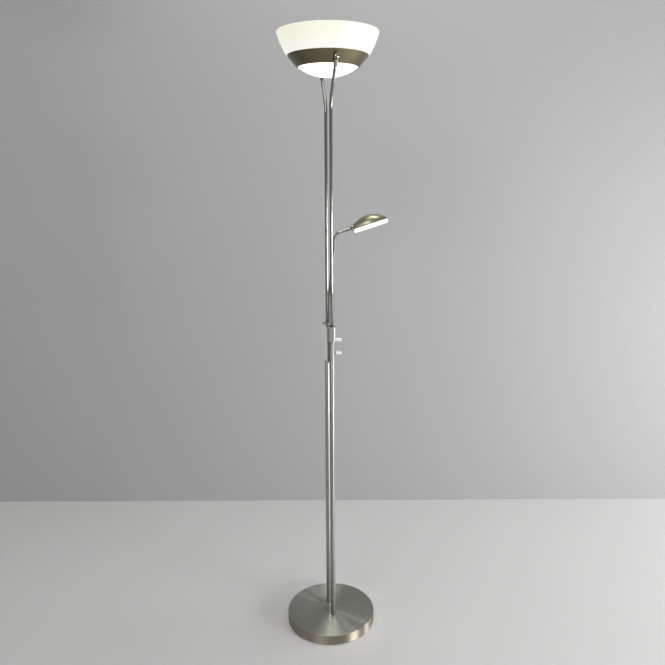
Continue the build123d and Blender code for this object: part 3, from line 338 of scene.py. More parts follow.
bowlGlass = makeLitOpal("bowlGlass", bowlSpan, (1.0, 1.0, 0.94, 1), (0.93, 0.93, 0.73, 1), 0.78, 0.30)
# painted highlight: a brighter, whiter glow kept for the rolled rim of the bowl
bowlRimPaintedHighlight = makeLitOpal("bowlRimPaintedHighlight", bowlSpan, (1.0, 1.0, 0.94, 1), (1.0, 1.0, 0.92, 1), 0.95, 0.18)
dishGlass = makeLitOpal("dishGlass", dishSpan, (1.0, 0.995, 0.955, 1), (1.0, 0.985, 0.93, 1), 2.0, 0.3, 0.02)
lensGlow = makeLitOpal("lensGlow", lensSpan, (1.0, 1.0, 0.97, 1), (1.0, 1.0, 0.95, 1), 1.8, 0.25, 0.02)
# painted shade: a dimmer, creamier glow for the faces inside the bowl
bowlInnerPaintedShade = makeLitOpal("bowlInnerPaintedShade", bowlSpan, (1.0, 0.99, 0.93, 1), (0.94, 0.93, 0.80, 1), 0.46, 0.30)
diffuserGlow = makeLitOpal("diffuserGlow", diffuserSpan, (1.0, 0.99, 0.92, 1), (1.0, 0.98, 0.90, 1), 0.78,
                           0.35, 0.03)
ledGlow = makeLitOpal("ledGlow", ledSpan, (1.0, 0.93, 0.72, 1), (1.0, 0.93, 0.72, 1), 1.6, 0.3, 0.0)
print("glass and lamp finishes made")


# mesh helpers: sizes and places come in mm, meshes are made in m
def toObject(name, mesh, material, body, slotName, stands=()):
    piece = bpy.data.objects.new(name, mesh)
    bpy.context.scene.collection.objects.link(piece)
    mesh.materials.clear()
    mesh.materials.append(material)
    for face in mesh.polygons:
        face.use_smooth = True
    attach(piece, body)
    if stands:
        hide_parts(*stands)
    return piece


def finishedMesh(name, mesh, place=None):
    # turns the faces outwards, puts the form in its place and keeps it as a mesh
    bmesh.ops.recalc_face_normals(mesh, faces=mesh.faces)
    if place is not None:
        bmesh.ops.transform(mesh, matrix=place, verts=mesh.verts)
    data = bpy.data.meshes.new(name)
    mesh.to_mesh(data)
    mesh.free()
    return data


def rounded(points, radii, steps=5):
    # corners of a closed outline, each rounded by its own radius
    out = []
    count = len(points)
    for index in range(count):
        here = Vector(points[index])
        before = Vector(points[index - 1])
        after = Vector(points[(index + 1) % count])
        radius = radii[index]
        toBefore, toAfter = before - here, after - here
        if radius <= 0 or toBefore.length < 1e-9 or toAfter.length < 1e-9:
            out.append(here)
            continue
        turn = toBefore.angle(toAfter)
        reach = min(radius / math.tan(turn / 2), 0.49 * toBefore.length, 0.49 * toAfter.length)
        start = here + toBefore.normalized() * reach
        end = here + toAfter.normalized() * reach
        for step in range(steps + 1):
            t = step / steps
            out.append(start * (1 - t) ** 2 + here * 2 * t * (1 - t) + end * t ** 2)
    return out


def spinInto(mesh, outline, axis, segments):
    # revolves a closed outline (radius, height in mm) round +Z, then places it along an axis
    rings = []
    for radius, height in outline:
        if radius < 1e-6:
            rings.append([mesh.verts.new(axis @ Vector((0, 0, height * mm)))])
            continue
        ring = []
        for step in range(segments):
            angle = 2 * math.pi * step / segments
            spot = Vector((radius * math.cos(angle), radius * math.sin(angle), height)) * mm
            ring.append(mesh.verts.new(axis @ spot))
        rings.append(ring)
    for first, second in zip(rings, rings[1:] + rings[:1]):
        if len(first) == 1 and len(second) == 1:
            continue
        for step in range(segments):
            after = (step + 1) % segments
            if len(first) == 1:
                mesh.faces.new((first[0], second[after], second[step]))
            elif len(second) == 1:
                mesh.faces.new((first[step], first[after], second[0]))
            else:
                mesh.faces.new((first[step], first[after], second[after], second[step]))


def turnedPieces(name, forms, material, body, segments, **more):
    # one piece from several turned forms, each an outline and the axis that it stands on
    mesh = bmesh.new()
    for outline, axis in forms:
        spinInto(mesh, outline, axis, segments)
    bmesh.ops.remove_doubles(mesh, verts=mesh.verts, dist=1e-7)
    return toObject(name, finishedMesh(name, mesh), material, body, **more)


def turned(name, outline, material, body, axis=None, **more):
    return turnedPieces(name, [(outline, axis or Matrix())], material, body, **more)


def alongAxis(origin, direction):
    # a matrix that sets local +Z along a direction, at an origin in mm
    turn = Vector(direction).normalized().to_track_quat("Z", "Y").to_matrix().to_4x4()
    return Matrix.Translation(Vector(origin) * mm) @ turn


def pipe(name, path, radius, material, body, segments, capInset=0.4, **more):
    # a round tube skin along a path of points in mm, with softly rounded, closed ends
    points = [Vector(p) for p in path]
    tangents = []
    for index in range(len(points)):
        low, high = max(index - 1, 0), min(index + 1, len(points) - 1)
        tangents.append((points[high] - points[low]).normalized())
    side = tangents[0].orthogonal().normalized()
    first, last = tangents[0], tangents[-1]
    stations = [(points[0], first, radius - capInset), (points[0] + first * capInset, first, radius)]
    stations += [(points[i], tangents[i], radius) for i in range(1, len(points) - 1)]
    stations += [(points[-1] - last * capInset, last, radius), (points[-1], last, radius - capInset)]
    mesh = bmesh.new()
    rings = []
    for centre, tangent, reach in stations:
        side = (side - tangent * side.dot(tangent)).normalized()
        up = tangent.cross(side)
        ring = []
        for step in range(segments):
            angle = 2 * math.pi * step / segments
            outward = side * math.cos(angle) + up * math.sin(angle)
            ring.append(mesh.verts.new((centre + outward * reach) * mm))
        rings.append(ring)
    for first, second in zip(rings, rings[1:]):
        for step in range(segments):
            after = (step + 1) % segments
            mesh.faces.new((first[step], first[after], second[after], second[step]))
    mesh.faces.new(list(reversed(rings[0])))
    mesh.faces.new(rings[-1])
    return toObject(name, finishedMesh(name, mesh), material, body, **more)


def sharpen(piece, degrees):
    # keeps crisp edges on a smooth-shaded mesh
    mesh = bmesh.new()
    mesh.from_mesh(piece.data)
    limit = math.radians(degrees)
    for edge in mesh.edges:
        edge.smooth = not (len(edge.link_faces) == 2 and edge.calc_face_angle(0) > limit)
    mesh.to_mesh(piece.data)
    mesh.free()


def dress(nodeName, material):
    # gives a CAD node its finish
    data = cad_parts[nodeName].data
    data.materials.clear()
    data.materials.append(material)


# base
baseLook = {"radius": 140.0, "height": 32.0, "edge": 2.2, "lip": 1.0, "wall": 1.2, "flatFrom": 0.95}


def makeBaseTop():
    radius, height, lip = baseLook["radius"], baseLook["height"], baseLook["lip"]
    inside, under = radius - baseLook["wall"], height - baseLook["wall"]
    form = rounded([(0, height), (radius, height), (radius, lip), (inside, lip), (inside, under), (0, under)],
                   [0, baseLook["edge"], 0.5, 0.4, 1.0, 0], 8)
    top = turned("baseTop", form, spunNickel, "stand", segments=256, stands=("base_cover",),
                 slotName="satin_nickel")
    top.data.materials.append(rimNickelPaintedReflection)
    for face in top.data.polygons:
        # painted reflection: the rim faces take the brown-tinted copy of the nickel
        if abs(face.normal.z) < baseLook["flatFrom"]:
            face.material_index = 1  # the rim and its rounded edge
    sharpen(top, 40)


glandLook = {"height": 12.0, "face": 141.7, "bore": 3.3, "barrel": 4.5, "depth": 5.0, "flange": 6.7,
             "flangeDepth": 1.6}


def makeLeadGrommet():
    bore, barrel, flange = glandLook["bore"], glandLook["barrel"], glandLook["flange"]
    depth, step = -glandLook["depth"], -glandLook["flangeDepth"]
    form = rounded([(bore, depth), (barrel, depth), (barrel, step), (flange, step), (flange, 0), (bore, 0)],
                   [0.4, 0.5, 0, 0.3, 0.8, 0.7])
    place = alongAxis((0, glandLook["face"], glandLook["height"]), (0, 1, 0))
    turned("leadGrommet", form, blackPlastic, "stand", axis=place, segments=48, stands=("cable_gland",),
           slotName="black_plastic")


makeBaseTop()
makeLeadGrommet()
print("base made")

# lower tubes
sides = ((-1, "front"), (1, "back"))
lowerTubes = {"radius": 7.5, "spacing": 33.0, "bottom": 32.1, "top": 967.0}
for side, label in sides:
    path = [(0, side * lowerTubes["spacing"], z) for z in (lowerTubes["bottom"], 300, 600, lowerTubes["top"])]
    pipe("lowerTube" + label.title(), path, lowerTubes["radius"], tubeNickel, "stand", segments=64,
         stands=("lower_tube_" + label,), slotName="satin_nickel")

# upper rods: straight, then bent outward to the pivots
rodLook = {"radius": 4.5, "spacing": 33.0, "bottom": 975.0, "bendRadius": 100.0, "bend": 36.0,
           "eyeOut": 105.05, "eyeHeight": 1721.0, "endBack": 14.2, "bendSteps": 24}
rodBend = math.radians(rodLook["bend"])


def rodPath(side):
    spacing, radius = rodLook["spacing"], rodLook["bendRadius"]
    corner = rodLook["eyeHeight"] - (rodLook["eyeOut"] - spacing) / math.tan(rodBend)
    bendBottom = corner - radius * math.tan(rodBend / 2)
    path = [(0, side * spacing, z) for z in (rodLook["bottom"], 1100, 1300, 1500, bendBottom)]
    for step in range(1, rodLook["bendSteps"] + 1):
        turnBy = rodBend * step / rodLook["bendSteps"]
        out = spacing + radius * (1 - math.cos(turnBy))
        path.append((0, side * out, bendBottom + radius * math.sin(turnBy)))
    endOut = rodLook["eyeOut"] - rodLook["endBack"] * math.sin(rodBend)
    path.append((0, side * endOut, rodLook["eyeHeight"] - rodLook["endBack"] * math.cos(rodBend)))
    return path


for side, label in sides:
    pipe("upperRod" + label.title(), rodPath(side), rodLook["radius"], rodNickelPaintedDark, "stand", segments=48,
         capInset=0.2, stands=("upper_rod_" + label,), slotName="satin_nickel")
print("columns made")

# knobs
knobLook = {"start": 19.5, "length": 16.5, "radius": 5.5, "heights": {"main": 941.0, "reading": 901.0},
            "foot": 4.8, "skirt": 5.35, "waist": 4.95, "bevel": 0.9, "dimple": 2.6, "dimpleFloor": 2.0,
            "dimpleDepth": 0.25}


def knobForm():
    # a skirt at the housing, a groove, the grip and a shallow dimple in the face
    radius, length, bevel = knobLook["radius"], knobLook["length"], knobLook["bevel"]
    skirt, waist, floor = knobLook["skirt"], knobLook["waist"], knobLook["length"] - knobLook["dimpleDepth"]
    return rounded([(0, 0), (knobLook["foot"], 0), (skirt, 0.9), (skirt, 2.6), (waist, 2.9), (waist, 3.5),
                    (radius, 3.9), (radius, length - bevel), (radius - bevel, length),
                    (knobLook["dimple"], length), (knobLook["dimpleFloor"], floor), (0, floor)],
                   [0, 0.3, 0.3, 0.15, 0.15, 0.15, 0.15, 0.5, 0.4, 0.15, 0.15, 0])


for label, height in knobLook["heights"].items():
    knob = turned("knob" + label.title(), knobForm(), knobChrome, label + "_knob",
                  axis=alongAxis((knobLook["start"], 0, height), (1, 0, 0)), segments=72,
                  stands=("knob_" + label,), slotName="bright_chrome")
    sharpen(knob, 50)
print("knobs made")

# uplighter: ring, bowl, dish and diffuser
ringLook = {"bottomRadius": 85.0, "bottom": 1709.6, "topRadius": 112.3, "top": 1740.4, "wall": 1.6,
            "lip": 82.4, "ledge": 2.0, "ledgeOut": 1.8}


def makeRing():
    lip, low, high, wall = ringLook["lip"], ringLook["bottomRadius"], ringLook["topRadius"], ringLook["wall"]
    bottom, top, ledge = ringLook["bottom"], ringLook["top"], ringLook["bottom"] + ringLook["ledge"]
    form = rounded([(lip, bottom), (low, bottom), (high, top), (high - wall, top),
                    (low - wall + ringLook["ledgeOut"], ledge), (lip, ledge)],
                   [0.4, 0.7, 0.6, 0.4, 0.3, 0.3], 5)
    ring = turned("shadeRing", form, ringNickel, "shade", segments=256, stands=("shade_ring",),
                  slotName="satin_nickel")
    sharpen(ring, 45)


bowlLook = {"rimRadius": 139.7, "rimHeight": 1800.0, "rimSlope": 15.0, "foot": 1740.7, "footRadius": 113.4,
            "wall": 3.5, "neckRadius": 109.2, "neckBottom": 1739.2, "neckWall": 5.0, "steps": 28,
            "lipSteps": 10, "lipCrown": 0.55, "paintedHighlightFrom": 1797.5}


def bowlCurve(inset):
    # the bowl's side as one arc from the rim, where its slope is known, down to the step
    rim = Vector((bowlLook["rimRadius"] - inset, bowlLook["rimHeight"]))
    foot = Vector((bowlLook["footRadius"] - inset, bowlLook["foot"]))
    slope = math.radians(bowlLook["rimSlope"])
    inward = Vector((-math.cos(slope), math.sin(slope)))
    chord = foot - rim
    radius = chord.length_squared / (2 * chord.dot(inward))
    centre = rim + inward * radius
    start = math.atan2(rim.y - centre.y, rim.x - centre.x)
    stop = math.atan2(foot.y - centre.y, foot.x - centre.x)
    angles = (start + (stop - start) * step / bowlLook["steps"] for step in range(bowlLook["steps"] + 1))
    return [centre + Vector((math.cos(angle), math.sin(angle))) * radius for angle in angles]


def bowlOutline():
    # over the rolled lip, down the inside, round the neck and foot, and back up the outside
    outside, inside = bowlCurve(0), bowlCurve(bowlLook["wall"])
    middle, half = (outside[0] + inside[0]) / 2, (outside[0] - inside[0]) / 2
    lip = []
    for step in range(1, bowlLook["lipSteps"]):
        turnBy = math.pi * step / bowlLook["lipSteps"]
        crown = Vector((0, half.length * bowlLook["lipCrown"] * math.sin(turnBy)))
        lip.append(middle + half * math.cos(turnBy) + crown)
    drop = Vector((0, max(point.y for point in lip) - bowlLook["rimHeight"]))
    foot, footRadius, neck = bowlLook["foot"], bowlLook["footRadius"], bowlLook["neckRadius"]
    neckInside, neckBottom = neck - bowlLook["neckWall"], bowlLook["neckBottom"]
    neckAndFoot = [(neckInside, foot + 0.2), (neckInside, neckBottom), (neck, neckBottom), (neck, foot),
                   (footRadius - 0.8, foot), (footRadius - 0.15, foot + 0.25)]
    outline = [point - drop for point in [outside[0]] + lip + [inside[0]]] + inside[2:]
    return outline + [Vector(spot) for spot in neckAndFoot] + list(reversed(outside[2:-1]))


def makeBowl():
    bowl = turned("bowlGlassPiece", bowlOutline(), bowlGlass, "shade", segments=256, stands=("glass_shade",),
                  slotName="opal_glass")
    bowl.data.materials.append(bowlRimPaintedHighlight)
    bowl.data.materials.append(bowlInnerPaintedShade)
    for face in bowl.data.polygons:
        # painted highlight: faces on the rolled rim take the brighter glow
        if face.center.z > bowlLook["paintedHighlightFrom"] * mm:
            face.material_index = 1
        # painted shade: faces that look in towards the axis take the dimmer glow
        elif face.center.x * face.normal.x + face.center.y * face.normal.y < 0:
            face.material_index = 2  # faces that look in towards the axis
    sharpen(bowl, 60)


dishLook = {"neck": 82.1, "edge": 1710.8, "bottom": 1684.8, "wall": 3.0, "flange": 84.6, "seat": 1711.7,
            "top": 1714.2, "steps": 40}


def capSection(radius, centre, angle):
    # half the section of a round cap, from its lowest point out to the angle
    turns = (angle * step / dishLook["steps"] for step in range(dishLook["steps"] + 1))
    return [(radius * math.sin(turn), centre - radius * math.cos(turn)) for turn in turns]


def makeDish():
    neck, flange, seat, top = (dishLook[key] for key in ("neck", "flange", "seat", "top"))
    depth = dishLook["edge"] - dishLook["bottom"]
    outer = (neck ** 2 + depth ** 2) / (2 * depth)
    inner = outer - dishLook["wall"]
    centre = dishLook["bottom"] + outer
    outerCap = capSection(outer, centre, math.asin(neck / outer))
    innerCap = capSection(inner, centre, math.acos((centre - top) / inner))
    form = outerCap + [(neck, seat), (flange, seat), (flange, top)] + list(reversed(innerCap))
    dish = turned("dishGlassPiece", form, dishGlass, "shade", segments=192, stands=("glass_dish",),
                  slotName="opal_glass")
    sharpen(dish, 60)


diffuserLook = {"radius": 103.3, "top": 1740.2, "bottom": 1738.2}


def makeDiffuser():
    radius, top, bottom = diffuserLook["radius"], diffuserLook["top"], diffuserLook["bottom"]
    form = rounded([(0, top), (radius, top), (radius, bottom), (0, bottom)], [0, 0.7, 0.3, 0], 4)
    turned("bowlDiffuser", form, diffuserGlow, "shade", segments=160, stands=("upper_diffuser",),
           slotName="opal_plastic")


makeRing()
makeBowl()
makeDish()
makeDiffuser()
print("bowl and dish made")

# pivots: a domed screw through each rod end's eye
pivotLook = {"headBase": 108.95, "headRadius": 6.8, "headHeight": 4.2, "skirt": 1.0, "bevel": 0.3,
             "shank": 2.5, "reach": 20.5, "height": 1721.0, "steps": 16}
eyeLook = {"radius": 6.5, "bore": 2.6, "inner": 101.3, "length": 7.5, "centre": 105.05, "neckRadius": 5.8,
           "neckReach": 24.0, "neckLength": 17.4}


def domeForm():
    # the shank, then the head's edge and its crown, a slice of a ball
    shank, reach, radius, bevel = (pivotLook[key] for key in ("shank", "reach", "headRadius", "bevel"))
    crownHeight = pivotLook["headHeight"] - pivotLook["skirt"]
    ball = (crownHeight ** 2 + radius ** 2) / (2 * crownHeight)
    crownAngle = math.asin(radius / ball)
    form = [(0, -reach), (shank, -reach), (shank, 0), (radius - bevel, 0), (radius, bevel)]
    for step in range(pivotLook["steps"] + 1):
        turnBy = crownAngle * (1 - step / pivotLook["steps"])
        form.append((ball * math.sin(turnBy), pivotLook["headHeight"] - ball + ball * math.cos(turnBy)))
    return form


def eyeForms():
    # the round eye, and the neck that takes the rod's end
    bore, radius, length = eyeLook["bore"], eyeLook["radius"], eyeLook["length"]
    neckRadius, neckLength = eyeLook["neckRadius"], eyeLook["neckLength"]
    eye = rounded([(bore, 0), (radius, 0), (radius, length), (bore, length)], [0.2, 0.8, 0.8, 0.2])
    neck = rounded([(0, 0), (neckRadius, 0), (neckRadius, neckLength), (0, neckLength)], [0, 0.9, 1.5, 0])
    return eye, neck


pivotHeight = pivotLook["height"]
domes = [(domeForm(), alongAxis((0, side * pivotLook["headBase"], pivotHeight), (0, side, 0)))
         for side, label in sides]
turnedPieces("pivotDomes", domes, domeNickel, "shade", segments=72, stands=("pivot_screws",),
             slotName="satin_nickel")
for side, label in sides:
    eye, neck = eyeForms()
    lean = Vector((0, side * math.sin(rodBend), math.cos(rodBend)))
    neckFoot = Vector((0, side * eyeLook["centre"], pivotHeight)) - lean * eyeLook["neckReach"]
    turnedPieces("pivotEye" + label.title(),
                 [(eye, alongAxis((0, side * eyeLook["inner"], pivotHeight), (0, side, 0))),
                  (neck, alongAxis(neckFoot, lean))],
                 castNickel, "stand", segments=72, stands=("pivot_eye_" + label,), slotName="satin_nickel")
print("pivots made")

# reading arm: a ribbed sleeve over each hinge
armLook = {"radius": 4.2, "rib": 0.28, "pitch": 1.7, "foot": 998.0, "stemTop": 1095.0, "lean": 8.0,
           "leanRise": 110.0, "upright": 33.7, "curl": 72.5, "curlRadius": 24.0, "tip": 40.2,
           "bendReach": 25.0, "steps": 24, "tipShort": 6.2, "ball": 4.1, "neck": 2.4, "neckOverlap": 0.5,
           "ballSteps": 20}
armBodies = ["arm_base", "arm_lean_1", "arm_lean_2", "arm_curl_1", "arm_curl_2"]


def onward(point, angle, distance):
    # a point in the X-Z plane, a distance on from another; the angle is from upright towards +X
    turnBy = math.radians(angle)
    return point[0] + distance * math.sin(turnBy), point[1] + distance * math.cos(turnBy)


def armRun(start, angle, turn, length):
    # the centre line of one run of the arm: a straight length, or an arc through the turn
    shares = [step / armLook["steps"] for step in range(armLook["steps"] + 1)]
    if not turn:
        return [onward(start, angle, length * share) for share in shares]
    centre = onward(start, angle + 90, armLook["curlRadius"])
    return [onward(centre, angle + turn * share - 90, armLook["curlRadius"]) for share in shares]


def makeRibTree():
    # sweeps the sleeve's skin along the curve and sets a rib ring at every pitch
    tree = bpy.data.node_groups.new("ribbedSleeve", "GeometryNodeTree")
    tree.interface.new_socket("Geometry", in_out="INPUT", socket_type="NodeSocketGeometry")
    sizes = {}
    for label, size in (("Radius", "radius"), ("Rib", "rib"), ("Pitch", "pitch")):
        socket = tree.interface.new_socket(label, in_out="INPUT", socket_type="NodeSocketFloat")
        socket.default_value = armLook[size] * mm
        sizes[label] = socket.identifier
    finish = tree.interface.new_socket("Finish", in_out="INPUT", socket_type="NodeSocketMaterial")
    sizes["Finish"] = finish.identifier
    tree.interface.new_socket("Geometry", in_out="OUTPUT", socket_type="NodeSocketGeometry")
    into, out = tree.nodes.new("NodeGroupInput"), tree.nodes.new("NodeGroupOutput")
    link = tree.links.new
    core = node(tree, "GeometryNodeCurvePrimitiveCircle", values={"Resolution": 28})
    reach = node(tree, "ShaderNodeMath", {"operation": "SUBTRACT"})
    link(into.outputs["Radius"], reach.inputs[0])
    link(into.outputs["Rib"], reach.inputs[1])
    link(reach.outputs[0], core.inputs["Radius"])
    skin = node(tree, "GeometryNodeCurveToMesh", values={"Fill Caps": True})
    link(into.outputs["Geometry"], skin.inputs["Curve"])
    link(core.outputs[0], skin.inputs["Profile Curve"])
    spots = node(tree, "GeometryNodeCurveToPoints", {"mode": "LENGTH"})
    link(into.outputs["Geometry"], spots.inputs["Curve"])
    link(into.outputs["Pitch"], spots.inputs["Length"])
    wire = node(tree, "GeometryNodeCurvePrimitiveCircle", values={"Resolution": 28})
    link(reach.outputs[0], wire.inputs["Radius"])
    bead = node(tree, "GeometryNodeCurvePrimitiveCircle", values={"Resolution": 6})
    link(into.outputs["Rib"], bead.inputs["Radius"])
    rib = node(tree, "GeometryNodeCurveToMesh")
    link(wire.outputs[0], rib.inputs["Curve"])
    link(bead.outputs[0], rib.inputs["Profile Curve"])
    stretch = node(tree, "GeometryNodeTransform", values={"Scale": (1.0, 1.0, 2.2)})
    link(rib.outputs[0], stretch.inputs[0])
    copies = tree.nodes.new("GeometryNodeInstanceOnPoints")
    link(spots.outputs["Points"], copies.inputs["Points"])
    link(stretch.outputs[0], copies.inputs["Instance"])
    link(spots.outputs["Rotation"], copies.inputs["Rotation"])
    joined = tree.nodes.new("GeometryNodeJoinGeometry")
    link(copies.outputs[0], joined.inputs[0])
    link(skin.outputs[0], joined.inputs[0])
    real = tree.nodes.new("GeometryNodeRealizeInstances")
    link(joined.outputs[0], real.inputs[0])
    painted = tree.nodes.new("GeometryNodeSetMaterial")
    link(real.outputs[0], painted.inputs["Geometry"])
    link(into.outputs["Finish"], painted.inputs["Material"])
    link(painted.outputs[0], out.inputs[0])
    return tree, sizes


ribTree, ribInputs = makeRibTree()


def curveThrough(name, points):
    data = bpy.data.curves.new(name, "CURVE")
    data.dimensions = "3D"
    line = data.splines.new("POLY")
    line.points.add(len(points) - 1)
    for spot, point in zip(line.points, points):
        spot.co = (point[0] * mm, 0, point[1] * mm, 1)
        spot.radius = 1.0
    piece = bpy.data.objects.new(name, data)
    bpy.context.scene.collection.objects.link(piece)
    return piece


def ribbed(name, points):
    # runs the sleeve tree on a curve and keeps its result as a plain mesh
    guide = curveThrough(name + "Guide", points)
    modifier = guide.modifiers.new("sleeve", "NODES")
    modifier.node_group = ribTree
    modifier[ribInputs["Radius"]] = armLook["radius"] * mm
    modifier[ribInputs["Rib"]] = armLook["rib"] * mm
    modifier[ribInputs["Pitch"]] = armLook["pitch"] * mm
    modifier[ribInputs["Finish"]] = sleeveNickelPaintedDark
    graph = bpy.context.evaluated_depsgraph_get()
    data = bpy.data.meshes.new_from_object(guide.evaluated_get(graph))
    bpy.data.objects.remove(guide)
    piece = bpy.data.objects.new(name, data)
    bpy.context.scene.collection.objects.link(piece)
    for face in data.polygons:
        face.use_smooth = True
    return piece


lean, curl = armLook["lean"], armLook["curl"]
leanLength = armLook["leanRise"] / math.cos(math.radians(lean))
armRuns = [armRun((0.0, armLook["foot"]), 0.0, 0, armLook["stemTop"] - armLook["foot"])]
for angle, turn, length in ((lean, 0, leanLength), (0.0, 0, armLook["upright"]), (0.0, curl, 0),
                            (curl, 0, armLook["tip"])):
    armRuns.append(armRun(armRuns[-1][-1], angle, turn, length))
armTip = armRuns[-1][-1]
halfWay = armLook["steps"] // 2


def sleevePoints(index):
    # from the middle of the run before the hinge to the middle of the run after it
    before, after = armRuns[index - 1], armRuns[index]
    if index > 2:
        return before[halfWay:] + after[1:halfWay + 1]
    # straight runs that meet at an angle: the sleeve takes it in one slow curve
    start, hinge, stop = Vector(before[halfWay]), Vector(after[0]), Vector(after[halfWay])
    shares = (step / armLook["steps"] for step in range(armLook["steps"] + 1))
    return [start.lerp(hinge, share).lerp(hinge.lerp(stop, share), share) for share in shares]


stem = ribbed("armStemSleeve", armRuns[0][:halfWay + 1])
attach(stem, "arm_base")
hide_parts("arm_stem")
for index in range(1, len(armRuns)):
    sleeve = ribbed(f"armSleeve{index}", sleevePoints(index))
    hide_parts(f"arm_link_{index}")
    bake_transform(sleeve)


def makeArmTip():
    # the last sleeve stops short of the head, where a polished ball on a thin neck takes over
    tipStart, tipEnd = Vector(armRuns[-1][halfWay]), Vector(onward(armTip, curl, -armLook["tipShort"]))
    tip = ribbed("armTipSleeve", [tipStart.lerp(tipEnd, step / halfWay) for step in range(halfWay + 1)])
    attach(tip, armBodies[-1])
    neckFoot = -armLook["tipShort"] - armLook["neckOverlap"]
    form = [(0, neckFoot), (armLook["neck"], neckFoot)]
    ballStart = math.asin(armLook["neck"] / armLook["ball"])
    for step in range(armLook["ballSteps"] + 1):
        turnBy = ballStart + (math.pi - ballStart) * step / armLook["ballSteps"]
        form.append((armLook["ball"] * math.sin(turnBy), -armLook["ball"] * math.cos(turnBy)))
    direction = Vector((math.sin(math.radians(curl)), 0, math.cos(math.radians(curl))))
    place = alongAxis((armTip[0], 0, armTip[1]), direction)
    turned("armTipBall", form, domeNickel, armBodies[-1], axis=place, segments=48, slotName="satin_nickel")


socketLook = {"bottom": 990.0, "top": 997.0, "bore": 4.6, "flange": 6.8, "flangeTop": 991.6, "waist": 6.2,
              "waistBottom": 992.0, "neck": 5.9, "neckTop": 996.4}


def makeArmSocket():
    bore, flange, waist, neck = (socketLook[key] for key in ("bore", "flange", "waist", "neck"))
    bottom, flangeTop, top = socketLook["bottom"], socketLook["flangeTop"], socketLook["top"]
    form = rounded([(bore, bottom), (flange, bottom), (flange, flangeTop), (waist, socketLook["waistBottom"]),
                    (neck, socketLook["neckTop"]), (bore, top)], [0, 0.2, 0.4, 0.3, 0.8, 0.3])
    turned("armSocketTurned", form, castNickel, "stand", segments=64, stands=("arm_socket",),
           slotName="satin_nickel")


makeArmTip()
makeArmSocket()
print("reading arm made")

# reading head
headLook = {"tilt": 16.3, "roll": 9.0, "length": 102.7, "neckWidth": 14.0, "halfWidth": 38.0,
            "neckHeight": 14.0, "height": 28.5, "widest": 58.0, "highest": 45.0, "wall": 1.2, "drop": 5.5,
            "neckOffset": 4.4, "sections": 44, "around": 48, "thinnest": 0.02}
tilt = math.radians(headLook["tilt"])
headX = Vector((math.cos(tilt), 0, math.sin(tilt)))
headUp = Vector((-math.sin(tilt), 0, math.cos(tilt)))
headUp.rotate(Matrix.Rotation(math.radians(-headLook["roll"]), 3, headX))
headY = headUp.cross(headX)
collarCentre = Vector((armTip[0], 0, armTip[1]))
headOrigin = collarCentre + headX * headLook["neckOffset"] - headUp * headLook["drop"]
headMatrix = Matrix.Translation(headOrigin * mm) @ Matrix((headX, headY, headUp)).transposed().to_4x4()


def headWidthAt(x):
    neck, half, widest = headLook["neckWidth"], headLook["halfWidth"], headLook["widest"]
    if x < widest:
        return neck + (half - neck) * math.sin(math.pi / 2 * x / widest)
    return half * math.sqrt(max(0.0, 1 - ((x - widest) / (headLook["length"] - widest)) ** 2))


def headHeightAt(x):
    neck, height, highest = headLook["neckHeight"], headLook["height"], headLook["highest"]
    if x < highest:
        return neck + (height - neck) * math.sin(math.pi / 2 * x / highest)
    return height * max(0.0, 1 - ((x - highest) / (headLook["length"] - highest)) ** 2) ** 0.7


def domeSkin(mesh, inset):
    # half-ellipse sections from neck to tip; the tip closes to one point
    around, thinnest = headLook["around"], headLook["thinnest"]
    sections = []
    for index in range(headLook["sections"]):
        share = math.sin(math.pi / 2 * index / (headLook["sections"] - 1))
        x = inset + (headLook["length"] - 2 * inset) * share
        width = max(thinnest, headWidthAt(x) - inset)
        height = max(thinnest, headHeightAt(x) - inset)
        ring = []
        for step in range(around + 1):
            turnBy = math.pi * step / around
            spot = Vector((x, width * math.cos(turnBy), height * math.sin(turnBy)))
            ring.append(mesh.verts.new(spot * mm))
        sections.append(ring)
    return sections


def headShellMesh():
    mesh = bmesh.new()
    outer, inner = domeSkin(mesh, 0.0), domeSkin(mesh, headLook["wall"])
    steps = range(headLook["around"])
    for outerHere, outerNext, innerHere, innerNext in zip(outer, outer[1:], inner, inner[1:]):
        for step in steps:
            mesh.faces.new((outerHere[step], outerNext[step], outerNext[step + 1], outerHere[step + 1]))
            mesh.faces.new((innerHere[step + 1], innerNext[step + 1], innerNext[step], innerHere[step]))
        mesh.faces.new((outerHere[0], innerHere[0], innerNext[0], outerNext[0]))
        mesh.faces.new((innerHere[-1], outerHere[-1], outerNext[-1], innerNext[-1]))
    mesh.faces.new(outer[0])
    mesh.faces.new(list(reversed(inner[0])))
    mesh.faces.new((outer[0][0], outer[0][-1], inner[0][-1], inner[0][0]))
    for step in steps:
        mesh.faces.new((outer[-1][step], inner[-1][step], inner[-1][step + 1], outer[-1][step + 1]))
    bmesh.ops.remove_doubles(mesh, verts=mesh.verts, dist=4e-5)
    return finishedMesh("headShell", mesh, headMatrix)


lensLook = {"inset": 1.6, "depth": 10.0, "edge": 3.2, "edgeSteps": 6, "middle": 54.0, "steps": 60,
            "most": 0.85, "crown": ((8, 0.25), (20, 0.45)), "crownTop": 0.5}


def lensOutline():
    # the head's outline, drawn in: out along one side and back along the other
    inset, last = lensLook["inset"], lensLook["steps"] - 1
    rim = []
    for index in range(lensLook["steps"]):
        share = 0.5 - 0.5 * math.cos(math.pi * index / last)
        x = inset + (headLook["length"] - 2 * inset) * share
        rim.append((x, max(0.0, headWidthAt(x) - inset)))
    return rim + [(x, -y) for x, y in reversed(rim[:-1])]


